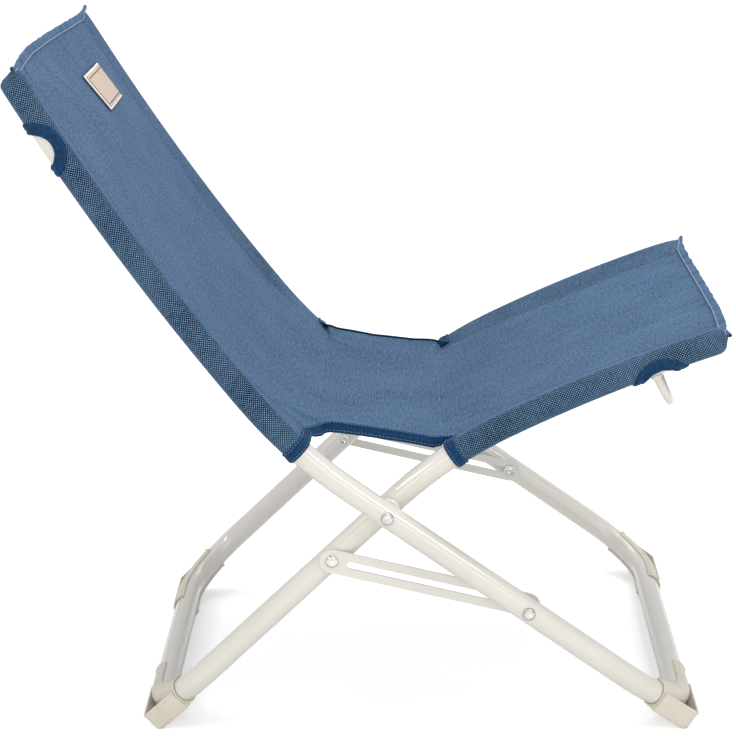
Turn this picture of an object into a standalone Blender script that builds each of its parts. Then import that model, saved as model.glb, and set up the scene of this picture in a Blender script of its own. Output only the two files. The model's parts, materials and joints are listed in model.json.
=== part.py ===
"""Folding beach chair: two steel tube frames crossing at a riveted pivot, with a mesh sling.

Units are metres.  +X is the front of the chair, +Y the sitter's left, +Z up, ground at Z = 0.
The back frame carries the backrest and ends in the front foot tube; the seat frame carries the
seat and ends in the rear foot tube.  A slotted stay on each side stops the legs spreading.
"""

import math

import bmesh
import bpy
from mathutils import Matrix, Vector

# Steel tube of both frames.
TUBE_RADIUS = 0.0125
TUBE_WALL = 0.0012
FOOT_BEND_RADIUS = 0.070
FIT_GAP = 0.0003

# Where the frames sit: half widths are to the tube centrelines.
BACK_HALF_WIDTH = 0.257
SEAT_HALF_WIDTH = 0.225
FOOT_CENTRE_HEIGHT = 0.0177
PIVOT_HEIGHT = 0.2366
PIVOT_FORWARD = 0.0068

# Slopes above the horizontal, in degrees.
FRONT_LEG_SLOPE = 36.67
REAR_LEG_SLOPE = 42.04
BACK_LOWER_SLOPE = 52.4
BACK_TOP_SLOPE = 60.4
SEAT_REAR_SLOPE = 24.9
SEAT_FRONT_SLOPE = 16.9

# Lengths of the straight, bent and bowed runs above the pivot.
BACK_STRAIGHT = 0.044
BACK_BEND = 0.1375
BACK_BOW = 0.385
SEAT_STRAIGHT = 0.011
SEAT_BEND = 0.134
SEAT_BOW = 0.225

# Pivot, stays and rivets.
SHANK_RADIUS = 0.003
HEAD_RADIUS = 0.0063
HEAD_HEIGHT = 0.0030
HEAD_SKIRT = 0.0020
HUG_REACH = 0.012
WASHER_THICKNESS = 0.0010
TAIL_HOLE = 0.0021
TAIL_ROLL = 0.0030
TAIL_HEIGHT = 0.0017
SPACER_CHAMFER = 0.0006
STAY_EDGE = 0.0004
PLUG_DEPTH = 0.012
PLUG_RIM = 0.0022
PLUG_DOME = 0.0046
LOW_HEAD_HEIGHT = 0.0025
COLLAR_RADIUS = 0.0070
SPACER_RADIUS = 0.0125
STAY_PIVOT_REACH = 0.078
STAY_SLIDE_REACH = 0.1735
STAY_WIDTH = 0.025
STAY_INNER_FACE = 0.2389
STAY_THICKNESS = 0.002
STAY_OVERRUN = 0.013
SLOT_WIDTH = 0.0066
SLOT_START = 0.019
CUT_MARGIN = 0.001
PIN_END = 0.2414

# Foot shoes: moulded channels around the foot bends with a square skirt.
SHOE_WALL = 0.0018
SHOE_MOUTH_ANGLE = 30.0
SHOE_LENGTH = 0.117
SKIRT_LENGTH = 0.085
SKIRT_FACE = 0.0149
SKIRT_RIM_HEIGHT = 0.0090
SKIRT_FLOOR = 0.0110
SKIRT_WALL = 0.0022
SKIRT_EDGE_RADIUS = 0.0032
SKIRT_CORNER_RADIUS = 0.004
RIM_BEAD = 0.0007
LIP_REACH = 0.007

# Sling of woven mesh.
CLOTH_THICKNESS = 0.0011
POCKET_RADIUS = TUBE_RADIUS + 0.0009
POCKET_OVERHANG = 0.018
HIP_CLEAR_BACK = 0.110
HIP_CLEAR_SEAT = 0.085
HIP_HALF_WIDTH = 0.203
HIP_JOINT_GAP = 0.0012
HIP_DIP_X = 0.046
HIP_DIP_Z = 0.3055
NOTCH_RADIUS = 0.0188
NOTCH_SETBACK = 0.004
BACK_NOTCH_FROM_TOP = 0.067
SEAT_NOTCH_FROM_FRONT = 0.061

# Cross bars that spread the open ends of the frames.
BAR_RADIUS = 0.0042
BAR_FILLET = 0.0060
SEAT_BAR_SETBACK = 0.006
SEAT_BAR_DROP = 0.048
SEAT_BAR_BEND = 0.022
WELD_START = 0.0137
WELD_END = 0.0167
SEAT_BAR_LEAN = 26.0
BACK_BAR_SETBACK = 0.006
BACK_BAR_BOW = 0.014
BACK_BAR_STATIONS = (0.060, 0.110, 0.160, 0.210)

# Sewn label on the backrest.
LABEL_WIDTH = 0.114
LABEL_HEIGHT = 0.047
LABEL_THICKNESS = 0.0008
LABEL_SIDE = 0.079
LABEL_FROM_TOP = 0.066

ROUND_STEPS = 16
POWDER_COAT = ("powder_coat", (0.80, 0.79, 0.73, 1.0), 0.35, 0.0)
ZINC = ("bright_zinc", (0.72, 0.72, 0.70, 1.0), 0.22, 1.0)
SHOE_PLASTIC = ("shoe_plastic", (0.74, 0.70, 0.58, 1.0), 0.5, 0.0)
WHITE_PLASTIC = ("spacer_plastic", (0.80, 0.79, 0.74, 1.0), 0.45, 0.0)
MESH_CLOTH = ("mesh_cloth", (0.12, 0.20, 0.36, 1.0), 0.8, 0.0)
LABEL_CLOTH = ("label_cloth", (0.70, 0.60, 0.50, 1.0), 0.7, 0.0)
STAY_PAINT = ("stay_paint", (0.78, 0.77, 0.72, 1.0), 0.35, 0.0)

# The two sides of the chair, as +Y (left) and -Y (right).
SIDES = (("left", 1), ("right", -1))


# ---------------------------------------------------------------- scene and object helpers


def clear_scene():
    """Start from an empty file."""
    for item in list(bpy.data.objects):
        bpy.data.objects.remove(item, do_unlink=True)
    for group in list(bpy.data.collections):
        bpy.data.collections.remove(group)


def new_collection(name):
    """Add a collection under the scene."""
    group = bpy.data.collections.new(name)
    bpy.context.scene.collection.children.link(group)
    return group


def surface(name, finish):
    """Principled material for one part."""
    kind, colour, roughness, metallic = finish
    material = bpy.data.materials.new(name + "_" + kind)
    material.use_nodes = True
    shader = material.node_tree.nodes["Principled BSDF"]
    shader.inputs["Base Color"].default_value = colour
    shader.inputs["Roughness"].default_value = roughness
    shader.inputs["Metallic"].default_value = metallic
    material.diffuse_color = colour
    return material


def add_mesh(name, mesh, finish=None):
    """Link a mesh as a part, or as a hidden cutter when it has no finish."""
    item = bpy.data.objects.new(name, mesh)
    if finish is None:
        CUTTERS.objects.link(item)
        item.hide_render = True
        item.display_type = "WIRE"
    else:
        PARTS.objects.link(item)
        mesh.materials.append(surface(name, finish))
    return item


def finish_bmesh(work, name, finish=None, smooth=True):
    """Close a bmesh off as an outward-facing part."""
    bmesh.ops.remove_doubles(work, verts=work.verts, dist=1e-6)
    bmesh.ops.recalc_face_normals(work, faces=work.faces)
    mesh = bpy.data.meshes.new(name)
    work.to_mesh(mesh)
    work.free()
    for face in mesh.polygons:
        face.use_smooth = smooth and len(face.vertices) <= 4
    return add_mesh(name, mesh, finish)


def cut(target, cutter, operation="DIFFERENCE"):
    """Exact Boolean on a part."""
    step = target.modifiers.new(operation.lower(), "BOOLEAN")
    step.operation = operation
    step.solver = "EXACT"
    step.object = cutter


def round_edges(target, width, segments=2, angle=40.0):
    """Small rounded edge on every sharp corner."""
    step = target.modifiers.new("edges", "BEVEL")
    step.width = width
    step.segments = segments
    step.limit_method = "ANGLE"
    step.angle_limit = math.radians(angle)
    step.use_clamp_overlap = True


# ---------------------------------------------------------------- solids


def end_faces(work, path, radius):
    """Faces that close the two ends of a swept solid."""
    found = []
    for end, inner in ((path[0], path[1]), (path[-1], path[-2])):
        end = Vector(end)
        run = (end - Vector(inner)).normalized()
        for face in work.faces:
            near = (face.calc_center_median() - end).length < radius
            if near and all(abs((vert.co - end).dot(run)) < 1e-5 for vert in face.verts):
                found.append(face)
    return found


def swept_round(name, path, radius, finish=None, wall=None, sides=ROUND_STEPS, scales=None):
    """Round bar, or tube with open ends when a wall is given, along a path of points."""
    curve = bpy.data.curves.new(name + "_run", "CURVE")
    curve.dimensions = "3D"
    curve.bevel_depth = radius
    curve.bevel_resolution = (sides - 4) // 2
    curve.use_fill_caps = True
    spline = curve.splines.new("POLY")
    spline.points.add(len(path) - 1)
    for point, place in zip(spline.points, path):
        point.co = (place[0], place[1], place[2], 1.0)
    for point, scale in zip(spline.points, scales or ()):
        point.radius = scale
    run = bpy.data.objects.new(name + "_run", curve)
    bpy.context.scene.collection.objects.link(run)
    bpy.context.view_layer.update()
    mesh = bpy.data.meshes.new_from_object(run.evaluated_get(bpy.context.evaluated_depsgraph_get()))
    bpy.data.objects.remove(run, do_unlink=True)
    work = bmesh.new()
    work.from_mesh(mesh)
    bmesh.ops.remove_doubles(work, verts=work.verts, dist=1e-5)
    bmesh.ops.recalc_face_normals(work, faces=work.faces)
    if wall is not None:
        bmesh.ops.delete(work, geom=end_faces(work, path, radius), context="FACES_ONLY")
    mesh = bpy.data.meshes.new(name)
    work.to_mesh(mesh)
    work.free()
    for face in mesh.polygons:
        face.use_smooth = len(face.vertices) <= 4
    item = add_mesh(name, mesh, finish)
    if wall is not None:
        skin = item.modifiers.new("wall", "SOLIDIFY")
        skin.thickness = wall
        skin.offset = -1.0
        skin.use_even_offset = True
    return item


def turned(name, outline, centre, axis, finish=None, sides=ROUND_STEPS, ring=False):
    """Solid of revolution: a (radius, height) outline screwed round an axis through a point."""
    climb = sum(
        (low[0] + high[0]) * (high[1] - low[1]) for low, high in zip(outline, outline[1:])
    )
    profile = list(reversed(outline)) if climb > 0 else list(outline)
    edges = [(index, index + 1) for index in range(len(profile) - 1)]
    if ring:
        edges.append((len(profile) - 1, 0))
    mesh = bpy.data.meshes.new(name)
    mesh.from_pydata([(radius, 0.0, height) for radius, height in profile], edges, [])
    item = add_mesh(name, mesh, finish)
    item.location = centre
    item.rotation_mode = "QUATERNION"
    item.rotation_quaternion = Vector((0, 0, 1)).rotation_difference(Vector(axis))
    spin = item.modifiers.new("turn", "SCREW")
    spin.steps = sides
    spin.render_steps = sides
    spin.use_merge_vertices = True
    spin.merge_threshold = 1e-5
    spin.use_smooth_shade = True
    return item


def lofted(name, loops, finish=None):
    """Solid through a stack of loops with equal point counts."""
    work = bmesh.new()
    rows = [[work.verts.new(point) for point in loop] for loop in loops]
    for low, high in zip(rows, rows[1:]):
        for step in range(len(low)):
            after = (step + 1) % len(low)
            work.faces.new((low[step], low[after], high[after], high[step]))
    work.faces.new(rows[0])
    work.faces.new(list(reversed(rows[-1])))
    return finish_bmesh(work, name, finish, smooth=False)


def side_plate(name, outline, inner, outer, side, finish=None):
    """Flat plate parallel to the chair's side, between two distances from the middle."""
    curve = bpy.data.curves.new(name + "_outline", "CURVE")
    curve.dimensions = "2D"
    curve.fill_mode = "BOTH"
    curve.extrude = (outer - inner) / 2
    spline = curve.splines.new("POLY")
    spline.points.add(len(outline) - 1)
    spline.use_cyclic_u = True
    for point, place in zip(spline.points, outline):
        point.co = (place[0], place[1], 0.0, 1.0)
    flat = bpy.data.objects.new(name + "_outline", curve)
    bpy.context.scene.collection.objects.link(flat)
    bpy.context.view_layer.update()
    mesh = bpy.data.meshes.new_from_object(flat.evaluated_get(bpy.context.evaluated_depsgraph_get()))
    bpy.data.objects.remove(flat, do_unlink=True)
    work = bmesh.new()
    work.from_mesh(mesh)
    item = finish_bmesh(work, name, finish, smooth=False)
    item.location = (0.0, side * (inner + outer) / 2, 0.0)
    item.rotation_euler = (math.radians(90), 0.0, 0.0)
    return item


def stadium(start, along, near, far, half_width, steps=8):
    """Outline of a slot or a round-ended bar lying along a direction in the side plane."""
    across = Vector((-along.y, along.x))
    points = []
    for step in range(steps + 1):
        angle = math.radians(90 + 180 * step / steps)
        bend = along * math.cos(angle) + across * math.sin(angle)
        points.append(start + along * near + bend * half_width)
    for step in range(steps + 1):
        angle = math.radians(-90 + 180 * step / steps)
        bend = along * math.cos(angle) + across * math.sin(angle)
        points.append(start + along * far + bend * half_width)
    return [(point.x, point.y) for point in points]


# ---------------------------------------------------------------- side view of the frames


def heading(degrees):
    """Unit vector in the side plane."""
    return Vector((math.cos(math.radians(degrees)), math.sin(math.radians(degrees))))


def bowed_run(start, first, runs):
    """Points of a path from a start, turning evenly through (length, end heading, steps) runs."""
    points = [Vector(start)]
    turn = first
    for length, last, steps in runs:
        for step in range(steps):
            middle = turn + (last - turn) * (step + 0.5) / steps
            points.append(points[-1] + heading(middle) * (length / steps))
        turn = last
    return points


def along_path(points, distance):
    """Point and unit direction at a distance from the start of a path."""
    left = distance
    for first, second in zip(points, points[1:]):
        length = (second - first).length
        if left <= length or second is points[-1]:
            direction = (second - first).normalized()
            return first + direction * left, direction
        left -= length
    return points[-1], (points[-1] - points[-2]).normalized()


def path_length(points):
    """Total length of a path."""
    return sum((second - first).length for first, second in zip(points, points[1:]))


PIVOT = Vector((PIVOT_FORWARD, PIVOT_HEIGHT))
LEG_DROP = PIVOT_HEIGHT - FOOT_CENTRE_HEIGHT
FRONT_LEG = heading(-FRONT_LEG_SLOPE)
REAR_LEG = heading(180 + REAR_LEG_SLOPE)
FRONT_LEG_LENGTH = LEG_DROP / math.sin(math.radians(FRONT_LEG_SLOPE))
REAR_LEG_LENGTH = LEG_DROP / math.sin(math.radians(REAR_LEG_SLOPE))
BACK_RISE = bowed_run(
    PIVOT,
    180 - FRONT_LEG_SLOPE,
    [
        (BACK_STRAIGHT, 180 - FRONT_LEG_SLOPE, 1),
        (BACK_BEND, 180 - BACK_LOWER_SLOPE, 5),
        (BACK_BOW, 180 - BACK_TOP_SLOPE, 5),
    ],
)
SEAT_RISE = bowed_run(
    PIVOT,
    REAR_LEG_SLOPE,
    [
        (SEAT_STRAIGHT, REAR_LEG_SLOPE, 1),
        (SEAT_BEND, SEAT_REAR_SLOPE, 5),
        (SEAT_BOW, SEAT_FRONT_SLOPE, 4),
    ],
)
STAY_PIVOT = PIVOT + REAR_LEG * STAY_PIVOT_REACH
STAY_SLIDE = PIVOT + FRONT_LEG * STAY_SLIDE_REACH


def foot_bend(leg, length, half_width, first_angle=0.0, steps=9):
    """Centreline of one foot bend, from the leg round to the cross tube."""
    corner = PIVOT + leg * length
    points = []
    for step in range(steps + 1):
        angle = math.radians(first_angle + (90.0 - first_angle) * step / steps)
        place = corner + leg * (FOOT_BEND_RADIUS * (math.sin(angle) - 1.0))
        reach = half_width - FOOT_BEND_RADIUS * (1.0 - math.cos(angle))
        points.append(Vector((place.x, reach, place.y)))
    return points


def frame_path(rise, leg, length, half_width):
    """Centreline of a whole frame, from the top of one side round the foot to the other."""
    side = [Vector((point.x, half_width, point.y)) for point in reversed(rise)]
    side += foot_bend(leg, length, half_width)
    other = [Vector((point.x, -point.y, point.z)) for point in reversed(side)]
    return side + other


def cross_hole(name, places, half_width):
    """Cutter that drills both side tubes through at several places."""
    work = bmesh.new()
    reach = TUBE_RADIUS * 2.4
    for place in places:
        for side in (-1, 1):
            matrix = Matrix.Translation((place.x, side * half_width, place.y))
            matrix = matrix @ Matrix.Rotation(math.radians(90), 4, "X")
            bmesh.ops.create_cone(
                work,
                cap_ends=True,
                segments=12,
                radius1=SHANK_RADIUS + FIT_GAP,
                radius2=SHANK_RADIUS + FIT_GAP,
                depth=reach,
                matrix=matrix,
            )
    return finish_bmesh(work, name)


def build_frames():
    """Both bent tube frames with their rivet holes."""
    back = swept_round(
        "back_frame_tube",
        frame_path(BACK_RISE, FRONT_LEG, FRONT_LEG_LENGTH, BACK_HALF_WIDTH),
        TUBE_RADIUS,
        POWDER_COAT,
        TUBE_WALL,
    )
    cut(back, cross_hole("back_frame_holes", [PIVOT, STAY_SLIDE], BACK_HALF_WIDTH))
    seat = swept_round(
        "seat_frame_tube",
        frame_path(SEAT_RISE, REAR_LEG, REAR_LEG_LENGTH, SEAT_HALF_WIDTH),
        TUBE_RADIUS,
        POWDER_COAT,
        TUBE_WALL,
    )
    cut(seat, cross_hole("seat_frame_holes", [PIVOT, STAY_PIVOT], SEAT_HALF_WIDTH))


def build_plugs():
    """Moulded plug in each open tube end."""
    bore = TUBE_RADIUS - TUBE_WALL - FIT_GAP
    outline = [
        (0.0, -PLUG_DEPTH),
        (bore, -PLUG_DEPTH),
        (bore, FIT_GAP),
        (TUBE_RADIUS, FIT_GAP),
        (TUBE_RADIUS, PLUG_RIM),
        (TUBE_RADIUS * 0.8, PLUG_DOME * 0.83),
        (0.0, PLUG_DOME),
    ]
    for label, rise, half_width in (
        ("back", BACK_RISE, BACK_HALF_WIDTH),
        ("seat", SEAT_RISE, SEAT_HALF_WIDTH),
    ):
        end = rise[-1]
        direction = (rise[-1] - rise[-2]).normalized()
        for hand, side in SIDES:
            centre = (end.x, side * half_width, end.y)
            axis = (direction.x, 0.0, direction.y)
            turned(f"{label}_plug_{hand}", outline, centre, axis, SHOE_PLASTIC)


# ---------------------------------------------------------------- rivets, spacers and stays


def tube_clearance(name, place, direction, reach):
    """Cutter the shape of a short piece of side tube, for heads that hug it."""
    start = place - direction * HUG_REACH
    end = place + direction * HUG_REACH
    path = [(start.x, reach, start.y), (end.x, reach, end.y)]
    return swept_round(name, path, TUBE_RADIUS + FIT_GAP, sides=24)


def domed_head(base, skirt, height=HEAD_HEIGHT):
    """Outline of a domed rivet head with a short straight skirt below its base."""
    return [
        (0.0, base - skirt),
        (HEAD_RADIUS, base - skirt),
        (HEAD_RADIUS, base + height * 0.20),
        (HEAD_RADIUS * 0.90, base + height * 0.52),
        (HEAD_RADIUS * 0.62, base + height * 0.84),
        (HEAD_RADIUS * 0.30, base + height * 0.97),
        (0.0, base + height),
    ]


def tail_and_shank(crown, far):
    """Outline of a rivet's rolled tail on its washer, standing on a tube crown, and its shank."""
    return [
        (0.0, crown - WASHER_THICKNESS),
        (TAIL_HOLE, crown - WASHER_THICKNESS * 1.1),
        (TAIL_HOLE, crown - WASHER_THICKNESS - TAIL_HEIGHT * 0.6),
        (TAIL_ROLL, crown - WASHER_THICKNESS - TAIL_HEIGHT),
        (TAIL_ROLL * 1.4, crown - WASHER_THICKNESS - TAIL_HEIGHT * 0.8),
        (TAIL_ROLL * 1.6, crown - WASHER_THICKNESS * 1.2),
        (COLLAR_RADIUS, crown - WASHER_THICKNESS),
        (COLLAR_RADIUS, crown),
        (SHANK_RADIUS, crown),
        (SHANK_RADIUS, far),
    ]


def build_pivots():
    """Rivet through both frames at the crossing, and the spacer between them."""
    inner = SEAT_HALF_WIDTH - TUBE_RADIUS - FIT_GAP
    outer = BACK_HALF_WIDTH + TUBE_RADIUS + FIT_GAP
    for hand, side in SIDES:
        centre = (PIVOT.x, 0.0, PIVOT.y)
        axis = (0.0, side, 0.0)
        rivet = turned(f"pivot_rivet_{hand}", domed_head(outer, HEAD_SKIRT), centre, axis, ZINC)
        cut(
            rivet,
            tube_clearance(f"pivot_saddle_{hand}", PIVOT, FRONT_LEG, side * BACK_HALF_WIDTH),
        )
        shank_outline = tail_and_shank(inner, outer + CUT_MARGIN) + [(0.0, outer + CUT_MARGIN)]
        cut(rivet, turned(f"pivot_shank_{hand}", shank_outline, centre, axis, sides=14), "UNION")
        low = SEAT_HALF_WIDTH + TUBE_RADIUS + FIT_GAP
        high = BACK_HALF_WIDTH - TUBE_RADIUS - FIT_GAP
        bore = SHANK_RADIUS + FIT_GAP
        ring = [
            (bore, low),
            (SPACER_RADIUS - SPACER_CHAMFER, low),
            (SPACER_RADIUS, low + SPACER_CHAMFER),
            (SPACER_RADIUS, high - SPACER_CHAMFER),
            (SPACER_RADIUS - SPACER_CHAMFER, high),
            (bore, high),
        ]
        turned(f"pivot_spacer_{hand}", ring, centre, axis, WHITE_PLASTIC, 20, ring=True)


def build_stays():
    """Slotted stay on each side, riveted to the seat frame and slotted over the back frame."""
    run = STAY_SLIDE - STAY_PIVOT
    span = run.length
    along = run.normalized()
    outer_face = STAY_INNER_FACE + STAY_THICKNESS
    for hand, side in SIDES:
        outline = stadium(STAY_PIVOT, along, 0.0, span + STAY_OVERRUN - STAY_WIDTH / 2, STAY_WIDTH / 2)
        stay = side_plate(f"stay_{hand}_bar", outline, STAY_INNER_FACE, outer_face, side, STAY_PAINT)
        slot = stadium(STAY_PIVOT, along, SLOT_START, span, SLOT_WIDTH / 2, 6)
        slot_cutter = side_plate(
            f"stay_{hand}_slot", slot, STAY_INNER_FACE - CUT_MARGIN, outer_face + CUT_MARGIN, side
        )
        round_edges(stay, STAY_EDGE, 1)
        cut(stay, slot_cutter)
        hole = turned(
            f"stay_{hand}_hole",
            [(0.0, -STAY_THICKNESS), (SHANK_RADIUS + FIT_GAP, -STAY_THICKNESS),
             (SHANK_RADIUS + FIT_GAP, STAY_THICKNESS), (0.0, STAY_THICKNESS)],
            (STAY_PIVOT.x, side * (STAY_INNER_FACE + STAY_THICKNESS / 2), STAY_PIVOT.y),
            (0.0, 1.0, 0.0),
            sides=12,
        )
        cut(stay, hole)


def build_stay_rivets():
    """Rivet of each stay on the seat frame, and the pin of the back frame that meets its slot."""
    outer_face = STAY_INNER_FACE + STAY_THICKNESS
    for hand, side in SIDES:
        axis = (0.0, side, 0.0)
        centre = (STAY_PIVOT.x, 0.0, STAY_PIVOT.y)
        base = outer_face + FIT_GAP
        outline = tail_and_shank(SEAT_HALF_WIDTH - TUBE_RADIUS - FIT_GAP, base)
        outline += domed_head(base, 0.0, LOW_HEAD_HEIGHT)[1:]
        turned(f"stay_rivet_{hand}", outline, centre, axis, ZINC)
        centre = (STAY_SLIDE.x, 0.0, STAY_SLIDE.y)
        outer = BACK_HALF_WIDTH + TUBE_RADIUS + FIT_GAP
        pin = turned(f"slide_pin_{hand}", domed_head(outer, HEAD_SKIRT), centre, axis, ZINC)
        cut(
            pin,
            tube_clearance(f"slide_saddle_{hand}", STAY_SLIDE, FRONT_LEG, side * BACK_HALF_WIDTH),
        )
        pin_shank = turned(
            f"slide_shank_{hand}",
            [(0.0, PIN_END), (SHANK_RADIUS, PIN_END), (SHANK_RADIUS, outer + CUT_MARGIN),
             (0.0, outer + CUT_MARGIN)],
            centre,
            axis,
            sides=14,
        )
        cut(pin, pin_shank, "UNION")
        runner_back = STAY_INNER_FACE - FIT_GAP
        runner = [
            (0.0, outer_face),
            (SHANK_RADIUS - 0.0001, outer_face),
            (SHANK_RADIUS - 0.0001, runner_back),
            (COLLAR_RADIUS, runner_back),
            (COLLAR_RADIUS, runner_back - 0.0011),
            (0.0046, runner_back - 0.0013),
            (0.0042, runner_back - 0.0026),
            (0.0030, runner_back - 0.0029),
            (0.0020, runner_back - 0.0022),
            (0.0, runner_back - 0.0020),
        ]
        turned(f"slide_runner_{hand}", runner, centre, axis, ZINC)


# ---------------------------------------------------------------- foot shoes


def shoe_frame(leg, length, half_width, side):
    """Local axes of a foot: along the leg, outboard, and up across the leg."""
    corner = PIVOT + leg * length
    along = Vector((leg.x, 0.0, leg.y))
    outboard = Vector((0.0, side, 0.0))
    up = Vector((-leg.y, 0.0, leg.x))
    if up.z < 0:
        up = -up
    origin = Vector((corner.x, side * half_width, corner.y))
    return origin, along, outboard, up


def bend_point(angle, radius):
    """Point at an angle round the foot bend, in the (along, outboard) plane of the foot."""
    turn = math.radians(angle)
    return Vector(
        (
            -FOOT_BEND_RADIUS + radius * math.sin(turn),
            -FOOT_BEND_RADIUS + radius * math.cos(turn),
        )
    )


def skirt_outline(grow):
    """Outline of the square skirt with its two outer faces moved out by an amount."""
    mouth = bend_point(SHOE_MOUTH_ANGLE + 1.0, FOOT_BEND_RADIUS + TUBE_RADIUS + SHOE_WALL + 0.0006)
    corner = Vector((SKIRT_FACE, -0.0035))
    side_run = (corner - mouth).normalized()
    side_out = Vector((-side_run.y, side_run.x))
    if side_out.y < 0:
        side_out = -side_out
    centre = corner - side_run * SKIRT_CORNER_RADIUS
    centre = Vector((SKIRT_FACE - SKIRT_CORNER_RADIUS, centre.y - side_out.y * SKIRT_CORNER_RADIUS))
    points = [mouth + side_out * grow]
    first = math.degrees(math.atan2(side_out.y, side_out.x))
    for step in range(5):
        angle = first * (1.0 - step / 4)
        points.append(centre + heading(angle) * (SKIRT_CORNER_RADIUS + grow))
    points.append(Vector((SKIRT_FACE + grow, -SKIRT_LENGTH)))
    points.append(Vector((0.0, -SKIRT_LENGTH)))
    for angle in (90.0, 75.0, 60.0, 45.0, SHOE_MOUTH_ANGLE + 1.0):
        points.append(bend_point(angle, FOOT_BEND_RADIUS))
    return points


def build_shoe(name, leg, length, half_width, side):
    """One moulded foot shoe: a channel round the bend with a square skirt and a ground pad."""
    origin, along, outboard, up = shoe_frame(leg, length, half_width, side)

    def world(point, height):
        return origin + along * point.x + outboard * point.y + up * height

    skirt_bottom = -SKIRT_FACE
    levels = []
    for step in range(5):
        angle = math.radians(90.0 * step / 4)
        grow = -SKIRT_EDGE_RADIUS * (1.0 - math.sin(angle))
        levels.append((grow, skirt_bottom + SKIRT_EDGE_RADIUS * (1.0 - math.cos(angle))))
    levels += [
        (0.0, SKIRT_RIM_HEIGHT - 0.0028),
        (RIM_BEAD, SKIRT_RIM_HEIGHT - 0.0022),
        (RIM_BEAD, SKIRT_RIM_HEIGHT - 0.0004),
        (RIM_BEAD - 0.0005, SKIRT_RIM_HEIGHT),
    ]
    shoe = lofted(
        name,
        [[world(point, height) for point in skirt_outline(grow)] for grow, height in levels],
        SHOE_PLASTIC,
    )
    ground = bmesh.new()
    bmesh.ops.create_cube(ground, size=1.0)
    ground.transform(
        Matrix.Translation((origin.x, origin.y - side * 0.05, -0.02))
        @ Matrix.Diagonal((0.2, 0.3, 0.04, 1.0))
    )
    cut(shoe, finish_bmesh(ground, name + "_ground", smooth=False))
    hollow = lofted(
        name + "_hollow",
        [
            [world(point, height) for point in skirt_outline(-SKIRT_WALL)]
            for height in (-SKIRT_FLOOR, SKIRT_RIM_HEIGHT + 0.01)
        ],
    )
    cut(shoe, hollow)
    bend = foot_bend(leg, length, half_width, SHOE_MOUTH_ANGLE, 6)
    inboard = half_width - SHOE_LENGTH
    path = [(point.x, side * point.y, point.z) for point in bend]
    path.append((path[-1][0], side * inboard, path[-1][2]))
    cut(shoe, swept_round(name + "_sleeve", path, TUBE_RADIUS + SHOE_WALL), "UNION")
    bend = foot_bend(leg, length, half_width)
    bore = [(point.x, side * point.y, point.z) for point in bend]
    bore.append((bore[-1][0], side * (inboard - 0.02), bore[-1][2]))
    cut(shoe, swept_round(name + "_bore", bore, TUBE_RADIUS + FIT_GAP))
    opening = [Vector((-0.11, -0.16))]
    opening.append(Vector((-LIP_REACH, -0.16)))
    for step in range(9):
        opening.append(bend_point(90.0 - 90.0 * step / 8, FOOT_BEND_RADIUS - LIP_REACH))
    opening.append(Vector((-0.11, -LIP_REACH)))
    gap = lofted(
        name + "_opening",
        [[world(point, height) for point in opening] for height in (-0.025, 0.025)],
    )
    cut(shoe, gap)


def build_shoes():
    """Four foot shoes."""
    for label, leg, length, half_width in (
        ("front", FRONT_LEG, FRONT_LEG_LENGTH, BACK_HALF_WIDTH),
        ("rear", REAR_LEG, REAR_LEG_LENGTH, SEAT_HALF_WIDTH),
    ):
        for hand, side in SIDES:
            build_shoe(f"{label}_shoe_{hand}", leg, length, half_width, side)


# ---------------------------------------------------------------- cross bars


def welded_bar(name, half, clearance):
    """Cross bar flared by its weld at each end and fitted against the side tubes.

    The half path runs from a tube centre toward the middle of the chair; its second and third
    points are where the weld starts and ends.
    """
    path = [(point.x, reach, point.y) for point, reach in half]
    path += [(point.x, -reach, point.y) for point, reach in reversed(half)]
    flare = BAR_FILLET / BAR_RADIUS
    scales = [flare, flare] + [1.0] * (len(path) - 4) + [flare, flare]
    bar = swept_round(name, path, BAR_RADIUS, POWDER_COAT, sides=12, scales=scales)
    cut(bar, clearance)


def long_clearance(name, place, direction, half_width):
    """Cutter covering both side tubes near one place."""
    work = bmesh.new()
    for side in (-1, 1):
        turn = Vector((0, 0, 1)).rotation_difference(Vector((direction.x, 0, direction.y)))
        matrix = Matrix.Translation((place.x, side * half_width, place.y))
        matrix = matrix @ turn.to_matrix().to_4x4()
        bmesh.ops.create_cone(
            work,
            cap_ends=True,
            segments=24,
            radius1=TUBE_RADIUS + FIT_GAP,
            radius2=TUBE_RADIUS + FIT_GAP,
            depth=0.06,
            matrix=matrix,
        )
    return finish_bmesh(work, name)


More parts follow.
